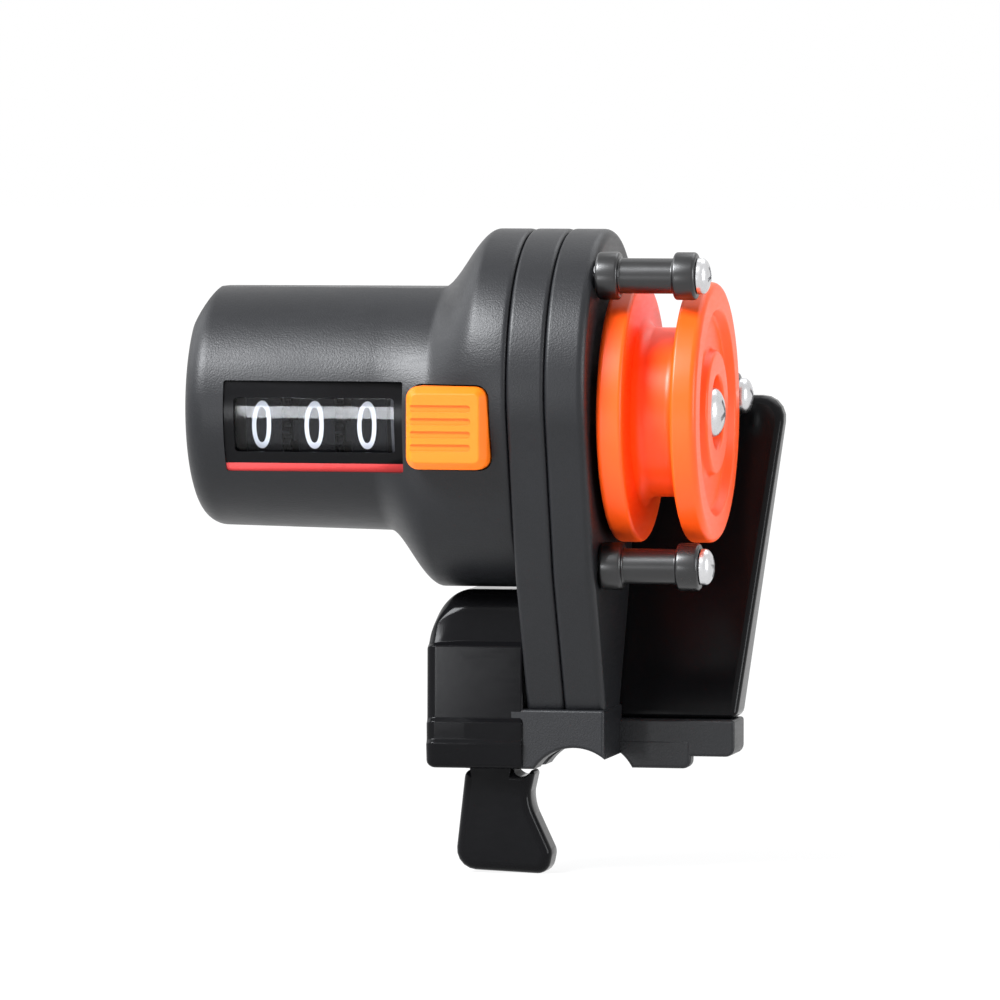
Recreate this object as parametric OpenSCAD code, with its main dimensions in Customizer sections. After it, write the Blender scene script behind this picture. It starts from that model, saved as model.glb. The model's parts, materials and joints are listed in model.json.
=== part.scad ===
// Clip-on fishing line counter: a measuring pulley turns a three-wheel counter through spur gears,
// and a sprung jaw clips the unit under a rod. The origin is on the rod's axis, in the middle of the
// clamp's seat. +Y runs along the rod, +X runs along the pulley's axis, +Z is up.

/* [Layout] */
// Height of the pulley axis over the rod axis
axis_h = 37.1; // [36:0.1:40]
// Where the counter case meets the gear case, along the pulley axis
seam_x = -4.7; // [-5:0.1:-4.5]
// Running gap between the pulley and the gear cover
pulley_gap = 0.6; // [0.4:0.1:1]
// Gap between faces that pass each other
slip = 0.3; // [0.2:0.05:0.4]

/* [Counter case] */
// Length of the counter case, from its closed end to the seam
case_len = 32.6; // [32:0.1:36]
// Radius of the barrel at its closed end
barrel_end_r = 11.7; // [11.5:0.05:11.8]
// Radius of the barrel where the flare starts
barrel_root_r = 12.1; // [11.9:0.05:12.3]
// Height of the barrel's axis over the pulley axis
barrel_rise = 0.4; // [0.2:0.1:0.6]
// Bore of the barrel
barrel_bore_r = 10.2; // [10.1:0.05:10.4]
// Thickness of the barrel's closed end
end_wall = 1.4; // [1:0.1:2]
// Rounding of the closed end's rim
end_round = 2.2; // [1.6:0.1:2.6]
// Height of the flat along the barrel's top, over the pulley axis
flat_top = 12; // [11.8:0.05:12.2]
// Height of the slanted cut at the top of the closed end
end_cut = 4.2; // [3.6:0.1:4.6]
// Depth of the slanted cut along the barrel
end_cut_in = 1.8; // [1.4:0.1:2.2]

/* [Gear housing] */
// Radius of the housing's round head
head_r = 14.8; // [14.6:0.1:15.4]
// Height of the head's centre over the pulley axis
head_rise = 2.9; // [2.6:0.1:3.2]
// Radius of the housing's waist
waist_r = 10.8; // [10.4:0.1:11.2]
// Depth of the waist's centre under the pulley axis
waist_drop = 12; // [11.5:0.1:12.5]
// Half of the housing's foot, along the rod
leg_half = 4.4; // [4.2:0.1:4.5]
// Rounding of the foot's corners
leg_round = 1.2; // [1.1:0.1:1.5]
// Height of the foot's lowest point over the rod axis
leg_z = 7.9; // [7.6:0.1:8.2]
// Thickness of the gear case
gear_case_t = 3.7; // [3.6:0.1:4]
// Thickness of the gear cover
cover_t = 4; // [3.8:0.1:4.4]
// Rounding of the cover's outer rim
cover_round = 0.9; // [0.5:0.1:1.2]
// Floor of the gear case behind the gears
gear_floor = 0.9; // [0.8:0.1:1]

/* [Window and reset] */
// Width of the window
window_w = 17.8; // [17.4:0.1:18]
// Height of the window
window_h = 8; // [7.6:0.1:8.2]
// Width of the window frame's rim
window_rim = 1; // [0.8:0.1:1.2]
// Height of the red index strip
index_h = 0.8; // [0.6:0.1:1]
// Gap between the window and the reset button
button_gap = 0.8; // [0.6:0.1:1]
// Distance from the reset button to the seam
button_edge = 1.8; // [1.6:0.1:2]
// Height of the reset button
button_h = 8; // [7.4:0.1:8.2]
// How far the button stands out from the pulley axis
button_reach = 15.4; // [15:0.1:16]
// Travel of the reset button
button_travel = 2; // [1.5:0.1:2.2]
// Number of finger grooves on the button
button_grooves = 4; // [3:1:5]

/* [Counter] */
// Radius of a digit wheel
digit_r = 8; // [7.95:0.01:8.1]
// Spacing of the digit wheels
digit_pitch = 5.2; // [5.2:0.05:5.4]
// Width of a digit wheel's rim
digit_rim_w = 3.6; // [3.4:0.05:3.6]
// Width of the gear and of the carry lug on a digit wheel's sides
carry_w = 0.7; // [0.6:0.05:0.7]
// Radius of the counter axle
axle_r = 0.8; // [0.7:0.05:0.9]

/* [Gears] */
// Gear module
gear_m = 0.38; // [0.37:0.005:0.39]
// Teeth of a pinion
pinion_teeth = 8; // [8:1:8]
// Teeth of the idler's wheel
idler_teeth = 32; // [32:1:32]
// Teeth of the drive gear and of the carry gears
drive_teeth = 40; // [40:1:40]
// Radial running clearance of a shaft in its hole
run_gap = 0.03; // [0.02:0.01:0.05]

/* [Pulley and rollers] */
// Radius of the pulley's flanges
pulley_r = 12.6; // [12.4:0.1:12.8]
// Radius at the bottom of the pulley's groove
groove_r = 8; // [7:0.1:9]
// Width of the pulley
pulley_w = 9.7; // [9.4:0.1:10]
// Thickness of a pulley flange
flange_t = 2.7; // [2.4:0.1:2.7]
// Radius of the pulley shaft
shaft_r = 1.5; // [1.4:0.05:1.6]
// Radius of a guide roller's flanges
roller_flange_r = 2.3; // [2.1:0.05:2.35]
// Radius of a guide roller's waist
roller_r = 1.7; // [1.5:0.05:1.8]
// Length of a guide roller
roller_len = 9.7; // [9.4:0.1:10]
// Radius of a roller screw's shank
screw_r = 1; // [0.9:0.05:1.1]

/* [Clamp] */
// Radius of the rod's seat
rod_r = 4.7; // [4.6:0.05:4.8]
// Length of the seat along the rod
seat_len = 9.4; // [9.2:0.1:9.6]
// Radius of the jaw's pin
jaw_pin_r = 1; // [0.9:0.05:1.1]
// Depth of the jaw and its spring along the rod
jaw_t = 5.8; // [5.4:0.1:6]
// Width of the finger block along the pulley axis
block_w = 9.6; // [9.4:0.1:10]
// Wall of the finger block
block_wall = 1.4; // [1.2:0.1:1.6]
// Height of the thumb plate's top over the pulley axis
plate_over = 0.9; // [0.5:0.1:1.5]
// Thickness of the thumb plate at its top
plate_t = 2.6; // [2.2:0.1:3]

/* [Hidden] */
$fn = 64;
tiny = 0.02;

// Planes along the pulley axis
case_end_x = seam_x - case_len;
cover_x = seam_x + gear_case_t;
face_x = cover_x + cover_t;
pulley_x = face_x + pulley_gap;
pulley_end_x = pulley_x + pulley_w;
drive_x = seam_x + gear_floor + slip;
drive_w = 1.2;
relay_x = drive_x + drive_w + 0.5;
relay_w = 1.4;
relay_end_x = relay_x + relay_w + slip;

// Gear centres, as [Y, Z] from the pulley axis: the idler and the counter axle lie on one line through it
train_angle = 30;
idler_at = polar(gear_m * (pinion_teeth + idler_teeth) / 2, train_angle);
counter_at = polar(gear_m * (drive_teeth - idler_teeth) / 2, train_angle + 180);
carry_angle = 8;
carry_at = counter_at + polar(gear_m * (pinion_teeth + drive_teeth) / 2, carry_angle);
gear_add = 0.85 * gear_m;
gear_ded = 1.2 * gear_m;
drive_tip_r = gear_m * drive_teeth / 2 + gear_add;
idler_tip_r = gear_m * idler_teeth / 2 + gear_add;
pinion_root_r = gear_m * pinion_teeth / 2 - gear_ded;
pin_r = 0.6;
sleeve_r = 2 * axle_r;

// Flare of the counter case
flare_len = 14.1;
flare_x = seam_x - flare_len;
flare_drop = 17.1;
bore_cone = 2.3;

// Counter wheels and their window
window_x = case_end_x + 13.1;
window_z = -0.8;
units_x = window_x + digit_pitch - 0.2;
tens_x = units_x - digit_pitch;
hundreds_x = tens_x - digit_pitch;
frame_out_r = barrel_end_r - 0.15;
frame_in_r = barrel_bore_r + 0.15;
lens_out_r = frame_out_r - 0.3;
lens_in_r = frame_in_r + 0.2;
frame_t = 0.8;
frame_left_x = hundreds_x - digit_rim_w / 2 - carry_w - 0.5 - frame_t;
frame_right_x = units_x + digit_rim_w / 2 + 0.5;

// Reset button
button_left_x = window_x + window_w / 2 + button_gap;
button_w = seam_x - button_edge - button_left_x;
button_x = button_left_x + button_w / 2;
button_z = -1.1;
button_skirt_y = -barrel_bore_r;
comb_z = counter_at[1] + digit_r + 1;
comb_t = 1.2;
spring_y = -4.8;
spring_coil_r = 0.1625 * button_w;
comb_arm_t = 0.125 * button_w;

// Guide rollers, as [Y, Z] from the pulley axis
roller_top = [-8.4, 13.4];
roller_bottom = [-6.5, -14.6];
roller_back = [15.2, 1];
rollers = [roller_top, roller_bottom, roller_back];
roller_x = face_x + 0.1;
ear_r = roller_flange_r + 0.5;
roller_hole_depth = 2.2;

// Case screws, as [Y, Z] from the pulley axis
case_screw_r = 0.9;
case_screw_head_r = 1.7;
case_screws_at = [[-9.5, 7.3], [2, 11.8], [7.5, -9.5], [-7.5, -9.7]];
case_screw_end_x = seam_x - 3.4;

// Clamp, over the rod axis
leg_drop = axis_h - leg_z;
plate_top = axis_h + plate_over;
leg_seat = 0.5;
plate_front = [4.6, 18.6];
seat_y = plate_front[0] - seat_len / 2;
block_x = seam_x - slip;
block_z = [2.6, axis_h - flare_drop - 0.2];
block_y = [-5.4, 5.4];
jaw_pivot = [block_x - 3.5, block_z[0] + 2.9];
jaw_hub_r = 2.6;
jaw_y = -jaw_t / 2;
jaw_hub_end_y = 0.5;
jaw_wire_r = 0.25;
jaw_back_y = jaw_hub_end_y + slip + 2 * jaw_wire_r;
pocket_x = [block_x - block_w + block_wall - 0.2, block_x - 0.4];
pocket_top = jaw_pivot[1] + 6.2;
foot_x = [2.6, 10];
foot_d = 2;
leg_screw_x = [seam_x + gear_case_t / 2, cover_x + cover_t / 2];
leg_screw_r = 0.8;
leg_screw_len = 5;
leg_seat_z = rod_r + 1.6;
floor_z = [3.4, 7];
floor_y = [3.6, 9.4];
floor_end_x = 14.3;
plate_widen = 2.6;
plate_screw_x = [5.2, 12];
plate_screw_y = 7.4;
plate_screw_r = 0.8;

function polar(r, a) = [r * cos(a), r * sin(a)];
function mix(a, b, t) = a + (b - a) * t;
function ease(t) = let (c = min(1, max(0, t))) c * c * (3 - 2 * c);
function lifted(p) = [p[0], p[1] + axis_h];

// A profile drawn in Y and Z, from x0 to x1
module yz_plate(x0, x1) translate([x0, 0, 0]) rotate([90, 0, 90]) linear_extrude(x1 - x0) children();

// A profile drawn in X and Z, from y0 to y1
module xz_plate(y0, y1) translate([0, y1, 0]) rotate([90, 0, 0]) linear_extrude(y1 - y0) children();

// A round bar along X at p = [Y, Z]
module x_bar(x0, x1, r, p) translate([x0, p[0], p[1]]) rotate([0, 90, 0]) cylinder(h = x1 - x0, r = r);

// A round bar along Y at p = [X, Z]
module y_bar(y0, y1, r, p) translate([p[0], y0, p[1]]) rotate([-90, 0, 0]) cylinder(h = y1 - y0, r = r);

// A turned piece along X at p = [Y, Z], from a profile of [radius, X]
module x_turned(p) translate([0, p[0], p[1]]) rotate([0, 90, 0]) rotate_extrude() children();

// A tooth's outline on its own spoke, from the root circle out to the tip
function tooth(teeth, a) =
    let (
        r = gear_m * teeth / 2,
        half = 0.36 * 3.1416 * gear_m / 2,
        root = r - gear_ded,
        tip = r + gear_add,
        wide = half + gear_ded * tan(20),
        narrow = half - gear_add * tan(20)
    )
    [
        polar(root, a - asin(wide / root)),
        polar(tip, a - asin(narrow / tip)),
        polar(tip, a + asin(narrow / tip)),
        polar(root, a + asin(wide / root))
    ];

// A spur gear's outline, with a tooth at the given angle
module gear_outline(teeth, tooth_at)
    polygon([for (i = [0:teeth - 1]) each tooth(teeth, tooth_at + i * 360 / teeth)]);

module gear(x0, x1, p, teeth, tooth_at)
    yz_plate(x0, x1) translate(p) gear_outline(teeth, tooth_at);

// A wire of radius wire_r along a list of points: rings square to the path, closed at both ends
module wire(points, wire_r, sides = 6) {
    last = len(points) - 1;
    along = [for (i = [0:last]) let (d = points[min(i + 1, last)] - points[max(i - 1, 0)]) d / norm(d)];
    ring = function (i)
        let (
            side = cross(along[i], [0.13, 0.05, 0.99]),
            u = side / norm(side),
            v = cross(along[i], u)
        )
        [for (k = [0:sides - 1]) points[i] + wire_r * (cos(k * 360 / sides) * u + sin(k * 360 / sides) * v)];
    polyhedron(
        points = [for (i = [0:last]) each ring(i)],
        faces = concat(
            [for (k = [1:sides - 2]) [0, k, k + 1]],
            [for (k = [1:sides - 2]) [last * sides, last * sides + k + 1, last * sides + k]],
            [
                for (i = [0:last - 1], k = [0:sides - 1])
                let (a = i * sides + k, b = i * sides + (k + 1) % sides)
                each [[a, a + sides, b], [b, a + sides, b + sides]]
            ]
        )
    );
}

// Points of a helix along Y
function coil(centre, y0, y1, r, turns, steps = 10) = [
    for (i = [0:turns * steps])
    let (a = i * 360 / steps)
    [centre[0] + r * cos(a), mix(y0, y1, i / (turns * steps)), centre[1] + r * sin(a)]
];

// Outline of the gear housing, drawn in Y and Z about the pulley axis
module housing_outline(inset = 0) hull() {
    translate([0, head_rise]) circle(r = head_r - inset, $fn = 72);
    translate([0, -waist_drop]) circle(r = waist_r - inset, $fn = 48);
    for (side = [-1, 1])
        translate([side * (leg_half - leg_round), leg_round - leg_drop])
            circle(r = leg_round - inset, $fn = 24);
}

// Room for the gears, drawn in Y and Z about the pulley axis
module gear_room() {
    translate(counter_at) circle(r = drive_tip_r + slip);
    translate(idler_at) circle(r = idler_tip_r + slip);
}

// One point of the flare's section at x, on the side that faces angle a: the larger reach of two circles.
// The top swells late along the case, the underside swells early and the sides swell slowly.
function flare_point(x, a) =
    let (
        side = ease((x - flare_x) / flare_len),
        top_r = mix(barrel_root_r, head_r, side),
        swell = ease((x - seam_x + 8.5) / 5.2),
        top = mix(barrel_rise + barrel_root_r, head_rise + head_r, swell),
        flat = mix(flat_top, head_rise + head_r, swell),
        sink = ease((x - flare_x) / 5.4),
        under_r = mix(barrel_root_r, 12, sink),
        under = mix(barrel_rise - barrel_root_r, -flare_drop, sink),
        top_c = top - top_r,
        under_c = under + under_r,
        upper = top_c * sin(a) + top_r > under_c * sin(a) + under_r,
        r = upper ? top_r : under_r,
        c = upper ? top_c : under_c
    )
    [x, r * cos(a), min(c + r * sin(a), flat)];

// The flare: a closed skin through its sections
module flare() {
    sides = 60;
    rows = 15;
    rings = [
        for (i = [0:rows], k = [0:sides - 1])
        flare_point(mix(flare_x, seam_x, i / rows), (k + 0.5) * 360 / sides)
    ];
    last = rows * sides;
    polyhedron(
        points = rings,
        faces = concat(
            [for (k = [1:sides - 2]) [0, k, k + 1]],
            [for (k = [1:sides - 2]) [last, last + k + 1, last + k]],
            [
                for (i = [0:rows - 1], k = [0:sides - 1])
                let (p = i * sides + k, q = i * sides + (k + 1) % sides)
                each [[p, p + sides, q], [q, p + sides, q + sides]]
            ]
        )
    );
}

module counter_case() {
    color("dimgray") translate([0, 0, axis_h]) difference() {
        union() {
            difference() {
                x_turned([0, barrel_rise]) union() {
                    translate([barrel_end_r - end_round, case_end_x + end_round]) circle(r = end_round);
                    polygon([
                        [0, case_end_x],
                        [barrel_end_r - end_round, case_end_x],
                        [barrel_end_r, case_end_x + end_round],
                        [barrel_root_r, flare_x + tiny],
                        [0, flare_x + tiny]
                    ]);
                }
                translate([case_end_x - 1, -barrel_root_r, flat_top])
                    cube([case_len, 2 * barrel_root_r, 2]);
                xz_plate(-barrel_root_r, barrel_root_r) polygon([
                    [case_end_x - end_cut_in, flat_top - 2 * end_cut],
                    [case_end_x + 2 * end_cut_in, flat_top + end_cut],
                    [case_end_x - end_cut_in, flat_top + end_cut]
                ]);
            }
            flare();
        }
        x_turned([0, barrel_rise]) polygon([
            [0, case_end_x + end_wall],
            [barrel_bore_r - bore_cone, case_end_x + end_wall],
            [barrel_bore_r, case_end_x + end_wall + bore_cone],
            [barrel_bore_r, seam_x + 1],
            [0, seam_x + 1]
        ]);
        translate([window_x - window_w / 2, -2 * barrel_root_r, window_z - window_h / 2 - index_h])
            cube([window_w, 2 * barrel_root_r - barrel_bore_r / 2, window_h + index_h]);
        translate([button_x, 0, button_z]) rotate([90, 0, 0])
            linear_extrude(2 * button_reach) button_outline(slip / 2);
        for (p = case_screws_at) x_bar(case_screw_end_x, seam_x + 1, case_screw_r, p);
    }
}

// A piece of the barrel's own curve, w wide and h high around height z over the pulley axis
module barrel_patch(r0, r1, w, h, z) intersection() {
    difference() {
        x_bar(window_x - w, window_x + w, r1, [0, barrel_rise]);
        x_bar(window_x - w - 1, window_x + w + 1, r0, [0, barrel_rise]);
    }
    translate([window_x - w / 2, -2 * barrel_root_r, z - h / 2]) cube([w, 2 * barrel_root_r, h]);
}

module window_frame() {
    color([0.05, 0.05, 0.06]) translate([0, 0, axis_h]) difference() {
        barrel_patch(frame_in_r, frame_out_r, window_w, window_h, window_z);
        translate([
            window_x - window_w / 2 + window_rim,
            -2 * barrel_root_r,
            window_z - window_h / 2 + window_rim
        ])
            cube([window_w - 2 * window_rim, 2 * barrel_root_r, window_h - 2 * window_rim]);
    }
}

module window_lens() {
    color([0.8, 0.85, 0.9, 0.3]) translate([0, 0, axis_h])
        barrel_patch(lens_in_r, lens_out_r, window_w - 2 * window_rim, window_h - 2 * window_rim, window_z);
}

module index_strip() {
    color("red") translate([0, 0, axis_h])
        barrel_patch(frame_in_r, frame_out_r, window_w, index_h, window_z - (window_h + index_h) / 2);
}

module gear_case() {
    color([0.16, 0.16, 0.17]) translate([0, 0, axis_h]) difference() {
        yz_plate(seam_x, cover_x) housing_outline();
        yz_plate(seam_x + gear_floor, cover_x + 1) gear_room();
        x_bar(seam_x - 1, cover_x, sleeve_r + run_gap, counter_at);
        x_bar(seam_x + slip, cover_x, pin_r, idler_at);
        for (p = case_screws_at) x_bar(seam_x - 1, cover_x + 1, case_screw_r, p);
        leg_screw_hole(leg_screw_x[0]);
    }
}

module gear_cover() {
    color([0.16, 0.16, 0.17]) translate([0, 0, axis_h]) difference() {
        union() {
            hull() {
                yz_plate(cover_x, face_x - cover_round) housing_outline();
                for (a = [30, 60, 90])
                    yz_plate(cover_x, face_x - cover_round * (1 - sin(a)))
                    housing_outline(cover_round * (1 - cos(a)));
            }
            x_bar(cover_x, face_x, ear_r, roller_back);
        }
        yz_plate(cover_x - 1, relay_end_x) gear_room();
        x_bar(cover_x, face_x + 1, shaft_r + 0.9, [0, 0]);
        x_bar(cover_x, relay_end_x + 0.9, pin_r, idler_at);
        for (p = rollers) x_bar(face_x - roller_hole_depth, face_x + 1, screw_r, p);
        for (p = case_screws_at) {
            x_bar(cover_x - 1, face_x + 1, case_screw_r, p);
            x_bar(face_x - 1, face_x + 1, case_screw_head_r, p);
        }
        leg_screw_hole(leg_screw_x[1]);
    }
}

// A threaded hole up into the housing's foot, drawn about the pulley axis
module leg_screw_hole(x)
    translate([x, 0, leg_seat_z - axis_h]) cylinder(h = leg_screw_len, r = leg_screw_r);

module case_screws() {
    color("silver") translate([0, 0, axis_h]) for (p = case_screws_at) difference() {
        union() {
            x_bar(case_screw_end_x, face_x - 1, case_screw_r, p);
            x_bar(face_x - 1, face_x - 0.1, case_screw_head_r, p);
        }
        cross_recess(face_x - 0.1, p, 1.1);
    }
}

// A cross recess cut into a screw's face at x, looking along X
module cross_recess(x, p, arm) {
    for (a = [0, 90]) translate([x - 0.5, p[0], p[1]]) rotate([a, 0, 0])
        translate([0, -arm, -0.2]) cube([1, 2 * arm, 0.4]);
}

// A digit wheel at x: rim, hub, a carry gear on its right if another wheel drives it, and a carry lug
// on its left
module digit_wheel(x, driven, drives) {
    half = digit_rim_w / 2;
    color([0.08, 0.08, 0.09]) translate([0, 0, axis_h]) difference() {
        union() {
            x_bar(x - half, x + half, digit_r, counter_at);
            if (driven) gear(x + half, x + half + carry_w, counter_at, drive_teeth, carry_angle);
            if (drives) yz_plate(x - half - carry_w, x - half) translate(counter_at) {
                circle(r = sleeve_r);
                intersection() {
                    circle(r = carry_lug_r);
                    rotate(carry_angle + 180) translate([0, -1]) square([digit_r, 2]);
                }
            }
        }
        x_bar(x - digit_pitch, x + digit_pitch, axle_r + run_gap, counter_at);
    }
}

carry_lug_r = norm(carry_at - counter_at) - gear_m * pinion_teeth / 2 - gear_add - 0.15;

module digit_wheel_units() digit_wheel(units_x, false, true);

module digit_wheel_tens() digit_wheel(tens_x, true, true);

module digit_wheel_hundreds() digit_wheel(hundreds_x, true, false);

module counter_axle() {
    color("silver") x_bar(frame_left_x, drive_x + drive_w, axle_r, lifted(counter_at));
}

// The counter's inner frame: two round plates in the barrel, a tie bar and a seat for the reset spring
module counter_frame() {
    plate_r = barrel_bore_r - 0.1;
    color([0.2, 0.2, 0.22]) translate([0, 0, axis_h]) difference() {
        union() {
            for (x = [frame_left_x, frame_right_x]) x_bar(x, x + frame_t, plate_r, [0, barrel_rise]);
            translate([frame_left_x, 5.2, 6.2]) cube([frame_right_x + frame_t - frame_left_x, 1.2, 1.2]);
            translate([frame_right_x, spring_y, button_z - 2]) cube([button_x + 2 - frame_right_x, 1, 4]);
        }
        x_bar(frame_left_x - 1, frame_left_x + frame_t + 1, axle_r, counter_at);
        x_bar(frame_right_x - 1, frame_right_x + frame_t + 1, sleeve_r + run_gap, counter_at);
        x_bar(frame_left_x - 1, frame_right_x + frame_t + 1, pin_r, carry_at);
        translate([frame_right_x - 1, -4, comb_z - slip])
            cube([frame_t + 2, 8, barrel_bore_r]);
    }
}

// A carry pinion between the wheel at x and its left neighbour
module carry_pinion(x) {
    gap_left = x - digit_pitch + digit_rim_w / 2;
    gap_right = x - digit_rim_w / 2;
    color("white") translate([0, 0, axis_h]) difference() {
        gear(
            gap_left + 0.15, gap_right - 0.15, carry_at, pinion_teeth,
            carry_angle + 180 + 180 / pinion_teeth
        );
        x_bar(gap_left - 1, gap_right + 1, pin_r + run_gap, carry_at);
    }
}

module carry_pinion_tens() carry_pinion(units_x);

module carry_pinion_hundreds() carry_pinion(tens_x);

module carry_shaft() {
    color("silver") x_bar(frame_left_x, frame_right_x + frame_t, pin_r, lifted(carry_at));
}

// The button's front outline, drawn in X and Z about its centre
module button_outline(room = 0) {
    round = 1.2;
    hull() for (sx = [-1, 1], sz = [-1, 1])
        translate([sx * (button_w / 2 - round), sz * (button_h / 2 - round)])
        circle(r = round + room, $fn = 24);
}

module reset_button() {
    groove_step = 1.25;
    color("orange") translate([button_x, 0, axis_h + button_z]) difference() {
        hull() {
            xz_plate(-button_reach + 1, button_skirt_y) button_outline();
            xz_plate(-button_reach, button_skirt_y) offset(delta = -0.6) button_outline();
        }
        for (i = [0:button_grooves - 1])
            translate([-button_w / 2 + 0.9, -button_reach, (i - (button_grooves - 1) / 2) * groove_step])
            rotate([0, 90, 0]) cylinder(h = button_w - 2.6, r = 0.3);
    }
}

// The reset comb: a bar over the digit wheels with one tooth a wheel, and an arm down to the button
module reset_comb() {
    arm_x = button_x - button_w / 2 + 0.6 * comb_arm_t;
    bar_y = counter_at[0] - 1.6;
    color("goldenrod") translate([0, 0, axis_h]) {
        translate([hundreds_x - 1, bar_y, comb_z]) cube([arm_x + 1 - hundreds_x, comb_t, comb_t]);
        for (x = [hundreds_x, tens_x, units_x])
            translate([x - 0.5, bar_y, comb_z - 0.6]) cube([1, comb_t, 0.6 + tiny]);
        yz_plate(arm_x, arm_x + comb_arm_t) polygon([
            [bar_y, comb_z + comb_t],
            [bar_y + comb_t, comb_z + comb_t],
            [bar_y + comb_t, comb_z],
            [button_skirt_y + 1.4, button_z + 3],
            [button_skirt_y + 1.4, button_z - 2],
            [button_skirt_y, button_z - 2],
            [button_skirt_y, button_z + 2.2]
        ]);
        translate([arm_x, button_skirt_y, button_z - 2]) cube([button_x + 1.5 - arm_x, 0.6, 4]);
    }
}

module reset_spring() {
    wire_r = 0.2;
    centre = [button_x, axis_h + button_z];
    color("silver") wire(
        coil(centre, button_skirt_y + 0.6 + wire_r, spring_y - wire_r, spring_coil_r, 5), wire_r);
}

module drive_gear() {
    color("ivory") translate([0, 0, axis_h]) difference() {
        union() {
            gear(drive_x, drive_x + drive_w, counter_at, drive_teeth, train_angle + 180 / drive_teeth);
            x_bar(units_x + digit_rim_w / 2, drive_x + tiny, sleeve_r, counter_at);
        }
        x_bar(units_x, drive_x + drive_w + 1, axle_r + run_gap, counter_at);
    }
}

module idler_gear() {
    color("ivory") translate([0, 0, axis_h]) difference() {
        union() {
            gear(drive_x, relay_x + tiny, idler_at, pinion_teeth, train_angle + 180);
            gear(relay_x, relay_x + relay_w, idler_at, idler_teeth, train_angle + 180 + 180 / idler_teeth);
        }
        x_bar(drive_x - 1, relay_x + relay_w + 1, pin_r + run_gap, idler_at);
    }
}

module idler_axle() {
    color("silver") x_bar(seam_x + slip, relay_end_x + 0.9, pin_r, lifted(idler_at));
}

module input_pinion() {
    color("goldenrod") translate([0, 0, axis_h]) difference() {
        gear(relay_x, relay_x + relay_w, [0, 0], pinion_teeth, train_angle);
        x_bar(relay_x - 1, relay_x + relay_w + 1, pin_r, [0, 0]);
    }
}

module pulley_shaft() {
    color("silver") translate([0, 0, axis_h]) difference() {
        union() {
            x_bar(relay_x, relay_end_x + tiny, pin_r, [0, 0]);
            x_bar(relay_end_x, pulley_end_x - 1, shaft_r, [0, 0]);
        }
        x_bar(pulley_end_x - 6, pulley_end_x, 0.8, [0, 0]);
    }
}

module pulley_bush() {
    color("peru") translate([0, 0, axis_h]) difference() {
        x_bar(relay_end_x, face_x + pulley_gap / 2, shaft_r + 0.9, [0, 0]);
        x_bar(relay_end_x - 1, pulley_x, shaft_r + run_gap, [0, 0]);
    }
}

// The pulley: two flanges, a groove with sloping sides, a dished outer face and a hub around its screw
module pulley() {
    rim = 0.5;
    slope = 0.5;
    hub_r = 6;
    well_r = 3.6;
    dish = 0.9;
    color("orangered") x_turned([0, axis_h]) difference() {
        polygon(concat(
            [[shaft_r, pulley_x], [pulley_r - rim, pulley_x]],
            [for (a = [-60, -30, 0, 30, 60]) [pulley_r - rim, pulley_x + rim] + polar(rim, a)],
            [[pulley_r - rim, pulley_x + flange_t - slope]],
            [[groove_r + 0.6, pulley_x + flange_t], [groove_r, pulley_x + flange_t + 0.6]],
            [[groove_r, pulley_end_x - flange_t - 0.6], [groove_r + 0.6, pulley_end_x - flange_t]],
            [[pulley_r - rim, pulley_end_x - flange_t + slope]],
            [for (a = [-60, -30, 0, 30, 60]) [pulley_r - rim, pulley_end_x - rim] + polar(rim, a)],
            [
                [pulley_r - 2.2, pulley_end_x],
                [pulley_r - 3, pulley_end_x - dish],
                [hub_r, pulley_end_x - dish]
            ],
            [[hub_r - 0.3, pulley_end_x], [well_r, pulley_end_x], [well_r - 0.3, pulley_end_x - 1]],
            [[shaft_r, pulley_end_x - 1]]
        ));
    }
}

// A pan-head screw's head with its seat at x
module pan_head(x, r, h, p) x_turned(p) union() {
    polygon([[0, x], [r, x], [r, x + 0.4 * h], [r - 0.45 * h, x + 0.85 * h], [0, x + h]]);
}

module pulley_screw() {
    seat = pulley_end_x - 1;
    color("silver") translate([0, 0, axis_h]) difference() {
        union() {
            x_bar(pulley_end_x - 5, seat + tiny, 0.8, [0, 0]);
            pan_head(seat, 2.4, 1.7, [0, 0]);
        }
        cross_recess(seat + 1.6, [0, 0], 1.5);
    }
}

// A guide roller at p: a waist between two flanges, turning on its screw
module guide_roller(p) {
    rim = 0.3;
    flange = 2.2;
    end = roller_x + roller_len;
    bore = screw_r + run_gap;
    color([0.12, 0.12, 0.13]) x_turned(lifted(p)) polygon([
        [bore, roller_x],
        [roller_flange_r - rim, roller_x],
        [roller_flange_r, roller_x + rim],
        [roller_flange_r, roller_x + flange - rim],
        [roller_flange_r - rim, roller_x + flange],
        [roller_r, roller_x + flange],
        [roller_r, end - flange],
        [roller_flange_r - rim, end - flange],
        [roller_flange_r, end - flange + rim],
        [roller_flange_r, end - rim],
        [roller_flange_r - rim, end],
        [bore, end]
    ]);
}

module guide_roller_top() guide_roller(roller_top);

module guide_roller_bottom() guide_roller(roller_bottom);

module guide_roller_back() guide_roller(roller_back);

module roller_screws() {
    seat = roller_x + roller_len + 0.1;
    color("silver") translate([0, 0, axis_h]) for (p = rollers) difference() {
        union() {
            x_bar(face_x - roller_hole_depth, seat + tiny, screw_r, p);
            pan_head(seat, 1.75, 1.2, p);
        }
        cross_recess(seat + 1.1, p, 1.1);
    }
}

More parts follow.
